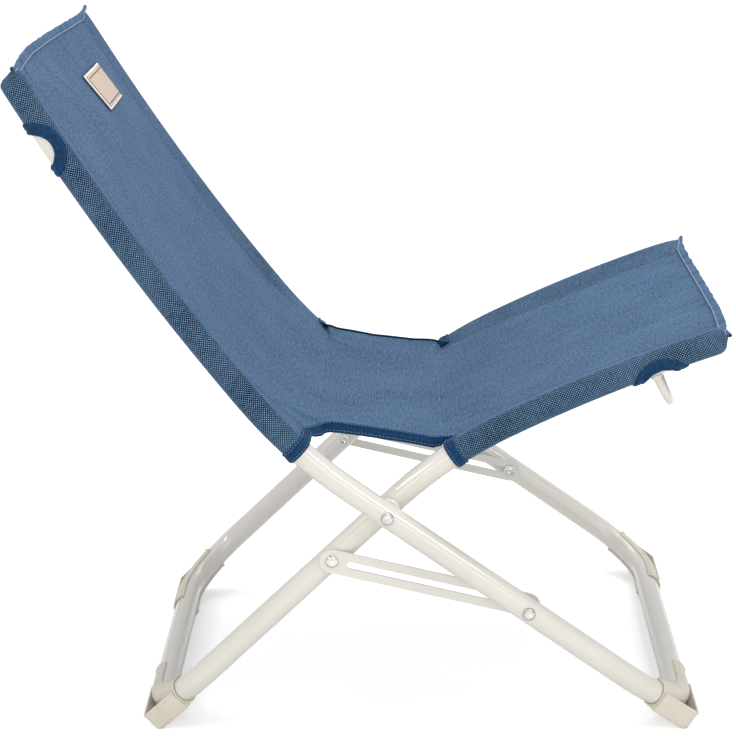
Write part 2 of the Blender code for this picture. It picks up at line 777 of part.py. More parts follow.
def build_bars():
    """Seat bar that dips under the seat and back bar that bows behind the backrest."""
    seat_bar_from_front = SEAT_NOTCH_FROM_FRONT + SEAT_BAR_SETBACK
    place, direction = along_path(SEAT_RISE, path_length(SEAT_RISE) - seat_bar_from_front)
    drop = heading(-90.0 + SEAT_BAR_LEAN)
    half = []
    for depth in (0.0, WELD_START, WELD_END, SEAT_BAR_DROP - SEAT_BAR_BEND):
        half.append((place + drop * depth, SEAT_HALF_WIDTH))
    for step in range(1, 6):
        angle = math.radians(90.0 * step / 5)
        point = place + drop * (SEAT_BAR_DROP - SEAT_BAR_BEND * (1.0 - math.sin(angle)))
        half.append((point, SEAT_HALF_WIDTH - SEAT_BAR_BEND * (1.0 - math.cos(angle))))
    clearance = long_clearance("seat_bar_saddles", place, direction, SEAT_HALF_WIDTH)
    welded_bar("seat_cross_bar", half, clearance)

    place, direction = along_path(BACK_RISE, path_length(BACK_RISE) - BACK_NOTCH_FROM_TOP)
    behind = Vector((-direction.y, direction.x))
    if behind.x > 0:
        behind = -behind
    half = []
    for inset in (0.0, WELD_START, WELD_END, *BACK_BAR_STATIONS):
        bow = math.sin(0.5 * math.pi * inset / BACK_HALF_WIDTH)
        point = place + behind * (BACK_BAR_SETBACK + BACK_BAR_BOW * bow)
        half.append((point, BACK_HALF_WIDTH - inset))
    clearance = long_clearance("back_bar_saddles", place, direction, BACK_HALF_WIDTH)
    welded_bar("back_cross_bar", half, clearance)


# ---------------------------------------------------------------- sling


def pocket_section(half_width):
    """Across-chair section of the cloth: a pocket round each tube joined by the flat sheet.

    Points are (reach across, height toward the sitter) from the line of the tube centres.
    """
    half = []
    for step in range(14):
        angle = math.radians(-222.0 + 312.0 * step / 13)
        half.append(
            (
                half_width + POCKET_RADIUS * math.cos(angle),
                POCKET_RADIUS * math.sin(angle),
            )
        )
    sheet = [(half_width * share, POCKET_RADIUS) for share in (0.78, 0.4, 0.0)]
    left = half + sheet
    right = [(-reach, height) for reach, height in reversed(left[:-1])]
    return left + right


def cloth_strip(name, stations, section, finish=MESH_CLOTH):
    """Cloth following a section along (point, direction, sitter side) stations."""
    work = bmesh.new()
    rows = []
    for point, sitter in stations:
        rows.append(
            [
                work.verts.new((point.x + sitter.x * height, reach, point.y + sitter.y * height))
                for reach, height in section
            ]
        )
    for low, high in zip(rows, rows[1:]):
        for step in range(len(low) - 1):
            work.faces.new((low[step], low[step + 1], high[step + 1], high[step]))
    mesh = bpy.data.meshes.new(name)
    work.to_mesh(mesh)
    work.free()
    for face in mesh.polygons:
        face.use_smooth = True
    cloth = add_mesh(name, mesh, finish)
    skin = cloth.modifiers.new("thickness", "SOLIDIFY")
    skin.thickness = CLOTH_THICKNESS
    skin.offset = cloth_side(mesh, section)
    skin.use_even_offset = True
    return cloth


def cloth_side(mesh, section):
    """Solidify direction that grows the cloth away from the tubes."""
    middle = min(
        (face for face in mesh.polygons),
        key=lambda face: abs(face.center.y),
    )
    return 1.0 if middle.normal.z > 0 else -1.0


def rise_stations(rise, near, far, sitter_up, steps):
    """Stations along a frame's rise with the unit vector toward the sitter."""
    stations = []
    for step in range(steps + 1):
        point, direction = along_path(rise, near + (far - near) * step / steps)
        sitter = Vector((-direction.y, direction.x))
        if (sitter.x if sitter_up == "x" else sitter.y) < 0:
            sitter = -sitter
        stations.append((point, sitter))
    return stations


def notch_cutter(name, place, behind):
    """Round bar across the chair that cuts the notch from the outer edge of both pockets."""
    centre = place + behind * (POCKET_RADIUS + CLOTH_THICKNESS + NOTCH_SETBACK)
    return swept_round(
        name, [(centre.x, -0.32, centre.y), (centre.x, 0.32, centre.y)], NOTCH_RADIUS, sides=20
    )


def build_sling():
    """Backrest cloth, seat cloth and the loose hip span that joins them."""
    back_far = path_length(BACK_RISE) + POCKET_OVERHANG
    seat_far = path_length(SEAT_RISE) + POCKET_OVERHANG
    back_stations = rise_stations(BACK_RISE, HIP_CLEAR_BACK, back_far, "x", 14)
    seat_stations = rise_stations(SEAT_RISE, HIP_CLEAR_SEAT, seat_far, "z", 9)
    back = cloth_strip("sling_back", back_stations, pocket_section(BACK_HALF_WIDTH))
    seat = cloth_strip("sling_seat", seat_stations, pocket_section(SEAT_HALF_WIDTH))

    place, direction = along_path(BACK_RISE, path_length(BACK_RISE) - BACK_NOTCH_FROM_TOP)
    behind = Vector((-direction.y, direction.x))
    if behind.x > 0:
        behind = -behind
    cut(back, notch_cutter("back_notch", place, behind))
    place, direction = along_path(SEAT_RISE, path_length(SEAT_RISE) - SEAT_NOTCH_FROM_FRONT)
    cut(seat, notch_cutter("seat_notch", place, Vector((direction.y, -direction.x))))

    low_back, back_sitter = back_stations[0]
    low_seat, seat_sitter = seat_stations[0]
    first = low_back + back_sitter * POCKET_RADIUS
    last = low_seat + seat_sitter * POCKET_RADIUS
    back_slope = (back_stations[0][0] - back_stations[1][0]).normalized()
    seat_slope = (seat_stations[1][0] - seat_stations[0][0]).normalized()
    first += back_slope * HIP_JOINT_GAP
    last -= seat_slope * HIP_JOINT_GAP
    hip = []
    steps = 12
    middle = Vector((HIP_DIP_X, HIP_DIP_Z))
    for step in range(steps + 1):
        share = step / steps
        pull = 1.0 - share
        bend = first * pull * pull + middle * 2.0 * pull * share + last * share * share
        hip.append(bend)
    hip_stations = []
    for index, point in enumerate(hip):
        before = hip[max(index - 1, 0)]
        after = hip[min(index + 1, steps)]
        run = (after - before).normalized()
        hip_stations.append((point, Vector((-run.y, run.x))))
    section = [(HIP_HALF_WIDTH * share, 0.0) for share in (1.0, 0.6, 0.2, -0.2, -0.6, -1.0)]
    cloth_strip("sling_hip", hip_stations, section)


def build_label():
    """Plain sewn label near the top of the backrest."""
    middle = path_length(BACK_RISE) - LABEL_FROM_TOP
    lift = POCKET_RADIUS + CLOTH_THICKNESS + FIT_GAP
    corners = []
    for share in (-0.5, 0.5):
        point, direction = along_path(BACK_RISE, middle + share * LABEL_HEIGHT)
        sitter = Vector((direction.y, -direction.x))
        if sitter.x < 0:
            sitter = -sitter
        corners.append((point, sitter))
    loops = []
    for height in (lift, lift + LABEL_THICKNESS):
        loop = []
        for index, edge in ((0, -0.5), (1, -0.5), (1, 0.5), (0, 0.5)):
            point, sitter = corners[index]
            spot = point + sitter * height
            loop.append((spot.x, LABEL_SIDE + edge * LABEL_WIDTH, spot.y))
        loops.append(loop)
    lofted("label_patch", loops, LABEL_CLOTH)


def hang(name, place, reach, members):
    """Parent a moving group's parts to an empty on its joint's axis."""
    pin = bpy.data.objects.new(name, None)
    pin.empty_display_size = 0.03
    pin.location = (place.x, reach, place.y)
    PARTS.objects.link(pin)
    bpy.context.view_layer.update()
    for member in members:
        item = bpy.data.objects[member]
        item.parent = pin
        item.matrix_parent_inverse = pin.matrix_world.inverted()


def group_parts():
    """Moving groups: the seat frame on the pivot, each stay on its rivet, each runner on its pin."""
    seat = ["seat_frame_tube", "seat_cross_bar", "sling_seat"]
    for hand, side in SIDES:
        seat += [f"seat_plug_{hand}", f"rear_shoe_{hand}", f"stay_rivet_{hand}"]
        reach = side * STAY_INNER_FACE
        hang(f"stay_{hand}_axis", STAY_PIVOT, reach, [f"stay_{hand}_bar"])
        hang(f"runner_{hand}_axis", STAY_SLIDE, reach, [f"slide_runner_{hand}"])
    hang("fold_axis", PIVOT, 0.0, seat)


clear_scene()
PARTS = new_collection("beach_chair")
CUTTERS = new_collection("cutters")
build_frames()
build_plugs()
build_pivots()
build_stays()
build_stay_rivets()
build_shoes()
build_bars()
build_sling()
build_label()
group_parts()
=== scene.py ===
"""Looks of the folding beach chair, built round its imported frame.

Units are metres.  +X is the front of the chair, +Y the sitter's left, +Z up, ground at Z = 0.
Side views use the plane (X, Z).  "back" and "seat" name the two frames and the sling on them.
"""

import json
import math

import bmesh
import bpy
from mathutils import Matrix, Vector, noise


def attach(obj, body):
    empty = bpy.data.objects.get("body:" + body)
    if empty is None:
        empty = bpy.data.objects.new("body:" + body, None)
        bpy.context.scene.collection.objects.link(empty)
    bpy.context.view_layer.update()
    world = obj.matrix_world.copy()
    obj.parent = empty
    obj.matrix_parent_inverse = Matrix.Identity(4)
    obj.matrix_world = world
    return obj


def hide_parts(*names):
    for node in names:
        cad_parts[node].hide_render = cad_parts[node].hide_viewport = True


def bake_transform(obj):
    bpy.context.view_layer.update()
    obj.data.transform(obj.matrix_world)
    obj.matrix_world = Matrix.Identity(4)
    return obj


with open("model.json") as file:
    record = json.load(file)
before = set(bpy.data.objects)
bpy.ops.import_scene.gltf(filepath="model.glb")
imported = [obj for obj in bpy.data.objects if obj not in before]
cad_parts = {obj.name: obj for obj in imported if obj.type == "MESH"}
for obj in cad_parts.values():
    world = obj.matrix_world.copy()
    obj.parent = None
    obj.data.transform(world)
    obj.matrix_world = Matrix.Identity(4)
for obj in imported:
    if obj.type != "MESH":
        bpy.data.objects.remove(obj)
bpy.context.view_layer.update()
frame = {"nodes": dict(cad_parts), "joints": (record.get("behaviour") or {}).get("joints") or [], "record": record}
FOLD = next(joint["pos_m"] for joint in frame["joints"] if joint["name"] == "fold")
REGIONS = ("back", "seat")
SIDES = (("left", 1), ("right", -1))

# Side view of the two frames: slopes in degrees, runs as (length, end slope, steps).
PIVOT = Vector((FOLD[0], FOLD[2]))
TUBE_RADIUS = 0.0125
TUBE_WALL = 0.0012
TUBE_TRIM = 0.011
FOOT_BEND_RADIUS = 0.070
FOOT_CENTRE_HEIGHT = 0.0177
HALF_WIDTH = {"back": 0.257, "seat": 0.225}
LEG_SLOPE = {"back": 36.67, "seat": 42.04}
BACK_RUNS = ((0.044, LEG_SLOPE["back"], 6), (0.1375, 52.4, 26), (0.385, 60.4, 60))
SEAT_RUNS = ((0.011, LEG_SLOPE["seat"], 2), (0.134, 24.9, 26), (0.225, 16.9, 40))

# Sling.
CLOTH = 0.0008
POCKET_R = TUBE_RADIUS + 0.0006
POCKET_GAP = 0.0014
EAR_RISE = 0.0035
MOUTH = {"back": 0.109, "seat": 0.084}
OVERHANG = 0.021
WAIST = 0.2010
HEM_DEPTH = 0.0098
HEM_SEWING = 0.0018
HEM_ENDS = 12
SEAM_SEWING = 0.0006
SEAM_SEWING_START = 0.014
SHEET_COLUMNS = 96
POCKET_COLUMNS = 44
ROW_COUNT = {"back": 84, "seat": 54}
MESH_PITCH = 0.0030

# Tapes.
TAPE_WIDTH = 0.0115
TAPE_THICK = 0.0016
TAPE_UNDER = 0.0004
TAPE_RIB = 0.0009
HIP_TAPE_DROP = 0.0108
HIP_TAPE_OUT = 0.0042
NEAR_TAPE_STAND = 0.0004
FAR_TAPE_STAND = 0.0020
TAPE_LAP = 0.0012
NOTCH_HOLE = 0.0185
NOTCH_TAPE = 0.0120
# Notch centres: distance from the free end of the frame, and offset round the tube.
NOTCH_PLACE = {"back": 0.067, "seat": 0.061}
NOTCH_TURN = {"back": -0.0030, "seat": 0.0045}

# Label.
LABEL_WIDTH = 0.114
LABEL_HEIGHT = 0.047
LABEL_SIDE = 0.092
LABEL_FROM_TOP = 0.066
LABEL_RIB = 0.0008
LABEL_SOFT_RIM = 0.0003
LABEL_PILLOW = 0.0004
LABEL_THREAD_HEIGHT = 0.0003
LABEL_COLUMNS = 40
LABEL_ROWS = 18


# -------- node material helpers


def srgb(red, green, blue):
    """Linear colour from 0..255 values."""
    out = []
    for value in (red, green, blue):
        value /= 255.0
        out.append(value / 12.92 if value <= 0.04045 else ((value + 0.055) / 1.055) ** 2.4)
    return (*out, 1.0)


class Nodes:
    """Small helper for building a node tree."""

    def __init__(self, name, holder=None, shader="Principled BSDF"):
        self.holder = holder or bpy.data.materials.new(name)
        self.holder.use_nodes = True
        self.tree = self.holder.node_tree
        self.shader = self.tree.nodes[shader]

    def put(self, socket, value):
        if hasattr(value, "is_output"):
            self.tree.links.new(value, socket)
        else:
            socket.default_value = value

    def add(self, kind, **inputs):
        """New node: _name sets an attribute, Name or Two__Words an input."""
        node = self.tree.nodes.new(kind)
        for key, value in inputs.items():
            if key.startswith("_"):
                setattr(node, key[1:], value)
            else:
                self.put(node.inputs[key.replace("__", " ")], value)
        return node

    def math(self, operation, first, second=0.0):
        node = self.add("ShaderNodeMath", _operation=operation)
        self.put(node.inputs[0], first)
        self.put(node.inputs[1], second)
        return node.outputs[0]

    def times(self, first, second):
        return self.math("MULTIPLY", first, second)

    def plus(self, first, second):
        return self.math("ADD", first, second)

    def mix(self, factor, first, second, blend="MIX"):
        node = self.add("ShaderNodeMix", _data_type="RGBA", _blend_type=blend)
        for index, value in ((0, factor), (6, first), (7, second)):
            self.put(node.inputs[index], value)
        return node.outputs[2]

    def ramp(self, value, low, high, start=0.0, end=1.0):
        node = self.add("ShaderNodeMapRange")
        for index, number in enumerate((value, low, high, start, end)):
            self.put(node.inputs[index], number)
        return node.outputs[0]

    def noise(self, scale, detail, rough, vector):
        made = self.add("ShaderNodeTexNoise", Vector=vector, Scale=scale, Detail=detail, Roughness=rough)
        return made.outputs[0]

    def blotches(self, scale, detail, rough, vector, *limits):
        return self.ramp(self.noise(scale, detail, rough, vector), *limits)

    def coords(self, which):
        return self.add("ShaderNodeTexCoord").outputs[which]

    def weave(self):
        """Cloth coordinates, and their parts across and along."""
        uv = self.add("ShaderNodeUVMap", _uv_map="weave").outputs[0]
        parts = self.add("ShaderNodeSeparateXYZ", Vector=uv).outputs
        return uv, parts[0], parts[1]

    def facing(self):
        return self.add("ShaderNodeLayerWeight", Blend=0.5).outputs["Facing"]

    def bump(self, height, strength, distance):
        made = self.add("ShaderNodeBump", Height=height, Strength=strength, Distance=distance)
        return made.outputs[0]

    def set(self, **inputs):
        for key, value in inputs.items():
            self.put(self.shader.inputs[key.replace("__", " ")], value)
        return self.holder


def powder_coat(name, colour, shade):
    """Cream powder coat: faint orange peel, small colour drift and grime in patches."""
    make = Nodes(name)
    place = make.coords("Object")
    specks = make.blotches(160.0, 5.0, 0.7, place, 0.72, 0.80)
    base = make.mix(make.blotches(9.0, 3.0, 0.5, place, 0.35, 0.7), colour, shade)
    return make.set(
        Base__Color=make.mix(make.times(specks, 0.18), base, srgb(176, 170, 154)),
        Roughness=make.blotches(30.0, 3.0, 0.5, place, 0.3, 0.7, 0.23, 0.27),
        Normal=make.bump(make.noise(420.0, 2.0, 0.5, place), 0.03, 0.0003),
        Coat__Weight=0.8,
        Coat__Roughness=0.07,
    )


def zinc(name):
    """Bright zinc plate with fine turning marks and dull patches, and a painted dark reflection toward the edges
    as seen.
    """
    make = Nodes(name)
    place = make.coords("Object")
    patches = make.noise(90.0, 5.0, 0.6, place)
    base = make.mix(make.ramp(patches, 0.35, 0.7), srgb(240, 240, 238), srgb(196, 196, 192))
    return make.set(
        # Painted dark reflection: the colour darkens where the surface turns away from the view.
        Base__Color=make.mix(make.ramp(make.facing(), 0.22, 0.62), base, srgb(84, 86, 90)),
        Metallic=1.0,
        Roughness=make.ramp(patches, 0.3, 0.75, 0.16, 0.38),
        Normal=make.bump(make.noise(900.0, 2.0, 0.5, place), 0.12, 0.0003),
    )


def moulded(name, colour, shade, rough):
    """Moulded plastic with fine spark-eroded grain, darker in patches within 12 mm of the ground."""
    make = Nodes(name)
    place = make.coords("Object")
    base = make.mix(make.blotches(35.0, 4.0, 0.6, place, 0.35, 0.7), colour, shade)
    height = make.add("ShaderNodeSeparateXYZ", Vector=place).outputs[2]
    low = make.ramp(height, 0.0, 0.012, 1.0, 0.0)
    # Darker in patches within 12 mm of the ground.
    low_dark_patches = make.times(low, make.blotches(240.0, 5.0, 0.7, place, 0.50, 0.70))
    return make.set(
        Base__Color=make.mix(make.times(low_dark_patches, 0.7), base, srgb(150, 140, 120)),
        Roughness=make.blotches(120.0, 3.0, 0.5, place, 0.3, 0.7, rough - 0.08, rough + 0.08),
        Normal=make.bump(make.noise(1500.0, 2.0, 0.5, place), 0.18, 0.0003),
    )


def mesh_cloth(name):
    """Coated-yarn mesh: raised light yarns over dark gaps, lighter when seen along the surface."""
    make = Nodes(name)
    uv, across, along = make.weave()
    row = make.math("DIVIDE", along, MESH_PITCH * 0.5)
    odd = make.math("MODULO", make.math("FLOOR", row), 2.0)
    column = make.plus(make.math("DIVIDE", across, MESH_PITCH), make.times(odd, 0.5))
    crest = make.plus(make.math("COSINE", make.times(column, math.tau)), 1.0)
    ridge = make.math("SUBTRACT", 1.0, make.math("COSINE", make.times(row, math.tau)))
    dots = make.ramp(make.times(crest, ridge), 4 * 0.46, 4 * 0.84)
    fuzz = make.blotches(700.0, 3.0, 0.6, uv, 0.3, 0.7)
    patch = make.blotches(14.0, 3.0, 0.5, uv, 0.3, 0.7)
    streaks = make.add("ShaderNodeMapping", Vector=uv, Scale=(90.0, 400.0, 1.0)).outputs[0]
    streak = make.blotches(1.0, 3.0, 0.65, streaks, 0.34, 0.66)
    graze = make.ramp(make.facing(), 0.50, 0.82)
    dark = make.mix(graze, srgb(3, 20, 46), srgb(42, 74, 110))
    light = make.mix(graze, srgb(146, 195, 230), srgb(118, 147, 180))
    cover = make.mix(graze, dots, make.plus(make.times(dots, 0.5), 0.18))
    base = make.mix(cover, dark, light)
    base = make.mix(1.0, base, make.plus(make.times(streak, 0.84), 0.60), "MULTIPLY")
    base = make.mix(make.times(fuzz, 0.10), base, srgb(40, 70, 106))
    return make.set(
        Base__Color=make.mix(make.times(patch, 0.20), base, srgb(112, 142, 174)),
        Roughness=make.ramp(dots, 0.0, 1.0, 0.72, 0.50),
        Normal=make.bump(make.plus(dots, make.times(fuzz, 0.15)), 0.5, 0.0005),
        Specular__IOR__Level=0.14,
        Sheen__Weight=0.08,
        Sheen__Roughness=0.4,
        Sheen__Tint=srgb(150, 180, 210),
    )


def tape_cloth(name):
    """Smooth royal blue binding tape with fine cross ribs."""
    make = Nodes(name)
    uv, _, along = make.weave()
    ribs = make.math("SINE", make.times(along, math.tau / TAPE_RIB))
    mottle = make.blotches(260.0, 4.0, 0.65, uv, 0.32, 0.68)
    return make.set(
        Base__Color=make.mix(mottle, srgb(0, 34, 66), srgb(2, 64, 104)),
        Roughness=0.55,
        Normal=make.bump(make.plus(ribs, make.times(mottle, 1.5)), 0.25, 0.0003),
        Sheen__Weight=0.08,
        Sheen__Roughness=0.35,
        Sheen__Tint=srgb(120, 170, 220),
        Specular__IOR__Level=0.18,
    )


def label_cloth(name, colour, shade):
    """Finely woven ribbon."""
    make = Nodes(name)
    uv, across, along = make.weave()
    rib = make.math("SINE", make.times(across, math.tau / LABEL_RIB))
    weave = make.times(rib, make.math("SINE", make.times(along, math.tau / LABEL_RIB)))
    base = make.mix(make.blotches(90.0, 4.0, 0.6, uv, 0.3, 0.7), colour, shade)
    base = make.mix(make.ramp(weave, -1.0, 1.0, 0.0, 0.18), base, shade)
    return make.set(Base__Color=base, Roughness=0.7, Normal=make.bump(weave, 0.3, 0.0002))


def thread(name, colour):
    """Twisted sewing thread."""
    make = Nodes(name)
    twist = make.noise(2500.0, 2.0, 0.5, make.coords("Object"))
    return make.set(
        Base__Color=make.mix(twist, colour, tuple(0.6 * c for c in colour[:3]) + (1.0,)),
        Roughness=0.6,
        Normal=make.bump(twist, 0.4, 0.0003),
    )


# -------- mesh helpers


def new_object(name, work, material, sharp=50, solid=True):
    """Mesh object from a bmesh, with its faces turned outward where it is a solid."""
    if solid:
        bmesh.ops.recalc_face_normals(work, faces=work.faces)
    mesh = bpy.data.meshes.new(name)
    work.to_mesh(mesh)
    work.free()
    mesh.shade_smooth()
    if sharp:
        mesh.set_sharp_from_angle(angle=math.radians(sharp))
    mesh.materials.append(material)
    item = bpy.data.objects.new(name, mesh)
    bpy.context.scene.collection.objects.link(item)
    return item


def grid_faces(work, rows, closed_rows=False, closed_columns=False):
    """Quads between rows of vertices; None marks a missing vertex."""
    pairs = list(zip(rows, rows[1:]))
    if closed_rows:
        pairs.append((rows[-1], rows[0]))
    made = []
    for low, high in pairs:
        count = len(low) if closed_columns else len(low) - 1
        for step in range(count):
            after = (step + 1) % len(low)
            corners = (low[step], low[after], high[after], high[step])
            if None not in corners:
                made.append(work.faces.new(corners))
    return made


class Cloth:
    """Mesh under construction whose vertices carry weave coordinates."""

    def __init__(self):
        self.work = bmesh.new()
        self.uv = self.work.loops.layers.uv.new("weave")
        self.weave = {}

    def vert(self, point, across, along):
        made = self.work.verts.new(point)
        self.weave[made] = Vector((across, along))
        return made

    def faces(self, rows, **closed):
        for face in grid_faces(self.work, rows, **closed):
            for loop in face.loops:
                loop[self.uv].uv = self.weave[loop.vert]


def heading(degrees):
    """Unit vector in the side plane."""
    return Vector((math.cos(math.radians(degrees)), math.sin(math.radians(degrees))))


def in_space(flat, reach=0.0):
    """Point or direction of the side plane, moved sideways."""
    return Vector((flat.x, reach, flat.y))


def bowed_run(start, first, runs, mirror=False):
    """Path turning evenly through (length, end slope, steps) runs; mirrored for the backrest."""
    points = [Vector(start)]
    turn = first
    for length, last, steps in runs:
        for step in range(steps):
            middle = turn + (last - turn) * (step + 0.5) / steps
            angle = 180.0 - middle if mirror else middle
            points.append(points[-1] + heading(angle) * (length / steps))
        turn = last
    return points


def along_path(points, distance):
    """Point and unit direction at a distance from the start of a path, running on past its end."""
    left = distance
    last = len(points) - 2
    for index, (first, second) in enumerate(zip(points, points[1:])):
        length = (second - first).length
        if left <= length or index == last:
            direction = (second - first).normalized()
            return first + direction * left, direction
        left -= length


def path_length(points):
    """Total length of a path."""
    return sum((second - first).length for first, second in zip(points, points[1:]))


LEG = {"back": heading(-LEG_SLOPE["back"]), "seat": heading(180 + LEG_SLOPE["seat"])}
LEG_LENGTH = {
    region: (PIVOT.y - FOOT_CENTRE_HEIGHT) / math.sin(math.radians(slope))
    for region, slope in LEG_SLOPE.items()
}
RISE = {
    "back": bowed_run(PIVOT, LEG_SLOPE["back"], BACK_RUNS, mirror=True),
    "seat": bowed_run(PIVOT, LEG_SLOPE["seat"], SEAT_RUNS),
}
LENGTH = {region: path_length(rise) for region, rise in RISE.items()}


def oval(work, spot, across, upward, wide, high, count=8):
    """Ring of vertices round a point."""
    ring = []
    for step in range(count):
        angle = math.tau * step / count
        offset = across * (math.cos(angle) * wide) + upward * (math.sin(angle) * high)
        ring.append(work.verts.new(spot + offset))
    return ring


def swept(work, path, radius, sides=40):
    """Rings of a round sweep along a path, without twist."""
    rings = []
    across = (path[1] - path[0]).normalized().orthogonal().normalized()
    for index, point in enumerate(path):
        before = path[max(index - 1, 0)]
        after = path[min(index + 1, len(path) - 1)]
        fresh = (after - before).normalized()
        across = (across - fresh * across.dot(fresh)).normalized()
        rings.append(oval(work, point, across, fresh.cross(across), radius, radius, sides))
    return rings


def capped_run(work, rings):
    """Closed skin along rings, with flat ends."""
    grid_faces(work, rings, closed_columns=True)
    work.faces.new(rings[0])
    work.faces.new(rings[-1])


def turned(name, outline, centre, axis, material, sides=48):
    """Solid of revolution from (radius, height) points about an axis."""
    lie = Vector((0, 0, 1)).rotation_difference(Vector(axis).normalized())
    place = Matrix.Translation(Vector(centre)) @ lie.to_matrix().to_4x4()
    work = bmesh.new()
    rows = []
    for radius, height in outline:
        if radius == 0.0:
            rows.append([work.verts.new(place @ Vector((0, 0, height)))] * sides)
            continue
        row = []
        for step in range(sides):
            angle = math.tau * step / sides
            spot = Vector((radius * math.cos(angle), radius * math.sin(angle), height))
            row.append(work.verts.new(place @ spot))
        rows.append(row)
    for low, high in zip(rows, rows[1:]):
        for step in range(sides):
            after = (step + 1) % sides
            corners = dict.fromkeys((low[step], low[after], high[after], high[step]))
            work.faces.new(list(corners))
    return new_object(name, work, material, 35)


def smooth_outline(points, steps):
    """Catmull-Rom curve through points of any dimension."""
    out = []
    last = len(points) - 1
    for index in range(last):
        before = points[max(index - 1, 0)]
        start = points[index]
        end = points[index + 1]
        after = points[min(index + 2, last)]
        for step in range(steps):
            t = step / steps
            square = (2 * before - 5 * start + 4 * end - after) * t * t
            cube = (3 * start - before - 3 * end + after) * t * t * t
            out.append(0.5 * (2 * start + (end - before) * t + square + cube))
    out.append(points[-1].copy())
    return out


def smoothstep(low, high, value):
    """0 below low, 1 above high, smooth between."""
    share = min(1.0, max(0.0, (value - low) / (high - low)))
    return share * share * (3.0 - 2.0 * share)


def bell(value, middle, width):
    """Bell curve of height 1."""
    return math.exp(-(((value - middle) / width) ** 2))


def table_value(table, key):
    """Linear look-up in ((key, value), ...)."""
    for (low, first), (high, second) in zip(table, table[1:]):
        if key <= high:
            share = max(0.0, (key - low) / (high - low))
            return first + (second - first) * share
    return table[-1][1]


# -------- sling shape

# Pocket seams: how far inboard of the tube's centre and how high over it, by distance from the
# free end of the frame.
SEAM_INSET = {
    "back": ((0.0, 0.026), (0.09, 0.030), (0.43, 0.029), (0.47, 0.030)),
    "seat": ((0.0, 0.036), (0.14, 0.044), (0.22, 0.038), (0.30, 0.026)),
}
SEAM_RISE = {
    "back": (
        (0.0, 0.0075), (0.05, 0.0090), (0.125, 0.0094), (0.17, 0.0084), (0.24, 0.0066), (0.30, 0.0055),
        (0.358, 0.0055), (0.374, 0.0070), (0.404, 0.0110), (0.424, 0.0130), (0.465, 0.0160),
    ),
    "seat": ((0.0, 0.0045), (0.14, 0.0038), (0.22, 0.0058), (0.30, 0.0092)),
}
# How far the loose cloth beyond the tube ends is drawn in, by share of the half width.
END_PULL_SHARES = (-1.15, -0.98, -0.78, -0.50, 0.00, 0.50, 0.88, 1.15)
BACK_END_PULL = (0.0090, 0.0075, 0.0035, 0.0012, 0.0032, 0.0070, 0.0100, 0.0090)
SEAT_END_PULL = (0.0070, 0.0058, 0.0025, 0.0008, 0.0018, 0.0036, 0.0050, 0.0040)
END_PULL = {
    "back": tuple(zip(END_PULL_SHARES, BACK_END_PULL)),
    "seat": tuple(zip(END_PULL_SHARES, SEAT_END_PULL)),
}
# Distance from a tube's end at which each pocket begins to close, and how sharply it does.
CLOSING_START = {("back", 1): 0.020, ("back", -1): 0.0005, ("seat", 1): 0.018, ("seat", -1): 0.001}
CLOSING_POWER = {1: 1.7, -1: 2.4}


def station(region, from_end):
    """Tube centre, run and sitter direction at a distance from the free end of a frame."""
    point, direction = along_path(RISE[region], LENGTH[region] - from_end)
    sitter = Vector((-direction.y, direction.x))
    toward = sitter.x if region == "back" else sitter.y
    if toward < 0:
        sitter = -sitter
    return point, direction, sitter


def end_pull(region, from_end, across):
    """Distance the cloth is drawn in beyond a tube's end."""
    amount = table_value(END_PULL[region], across / HALF_WIDTH[region])
    return amount * smoothstep(0.0, OVERHANG, -from_end)


class Pocket:
    """Section of a pocket round its tube, by arc length from the upper seam to the lower one."""

    def __init__(self, region, from_end, side=-1):
        self.inset = table_value(SEAM_INSET[region], max(from_end, 0.0))
        self.rise = table_value(SEAM_RISE[region], max(from_end, 0.0))
        self.seam = Vector((-self.inset, self.rise))
        away = self.seam.length
        centre = math.atan2(self.rise, -self.inset)
        spread = math.acos(POCKET_R / away)
        self.high = centre - spread
        self.low = centre + spread - math.tau
        self.straight = math.sqrt(away * away - POCKET_R * POCKET_R)
        self.round = POCKET_R * (self.high - self.low)
        self.length = 2 * self.straight + self.round
        self.back = self.straight + POCKET_R * (self.high + math.pi / 2)
        start = CLOSING_START[region, side]
        closing = min(1.0, max(0.0, (start - from_end) / (OVERHANG + start)))
        self.flat = 1.0 - math.sqrt(max(0.0, 1.0 - closing ** CLOSING_POWER[side]))

    def at(self, arc):
        """Point (outboard, toward sitter) and outward normal."""
        arc = min(max(arc, 0.0), self.length)
        if arc < self.straight:
            normal = heading(math.degrees(self.high))
            point = self.seam.lerp(normal * POCKET_R, arc / self.straight)
        elif arc < self.straight + self.round:
            normal = heading(math.degrees(self.high - (arc - self.straight) / POCKET_R))
            point = normal * POCKET_R
        else:
            normal = heading(math.degrees(self.low))
            share = (arc - self.straight - self.round) / self.straight
            point = (normal * POCKET_R).lerp(self.seam - Vector((0.0, POCKET_GAP)), share)
        if self.flat > 0.0:
            half = self.length / 2
            upper = arc < half
            reach = arc if upper else self.length - arc
            gap = (0.5 if upper else -0.5) * POCKET_GAP * smoothstep(0.0, 0.004, half - reach)
            point = point.lerp(Vector((reach - self.inset, self.ear(reach) + gap)), self.flat)
        return point, normal

    def ear(self, reach):
        """Height of the flattened end at a reach outboard of the seam."""
        return self.rise + EAR_RISE * smoothstep(0.0, self.length / 2, reach)


def pocket_point(region, side, from_end, arc, lift=0.0):
    """Point of a pocket's cloth in space."""
    centre, direction, sitter = station(region, from_end)
    point, normal = Pocket(region, from_end, side).at(arc)
    point = point + normal * lift
    across = side * (HALF_WIDTH[region] + point.x)
    centre = centre - direction * end_pull(region, from_end, across)
    return in_space(centre + sitter * point.y, across)


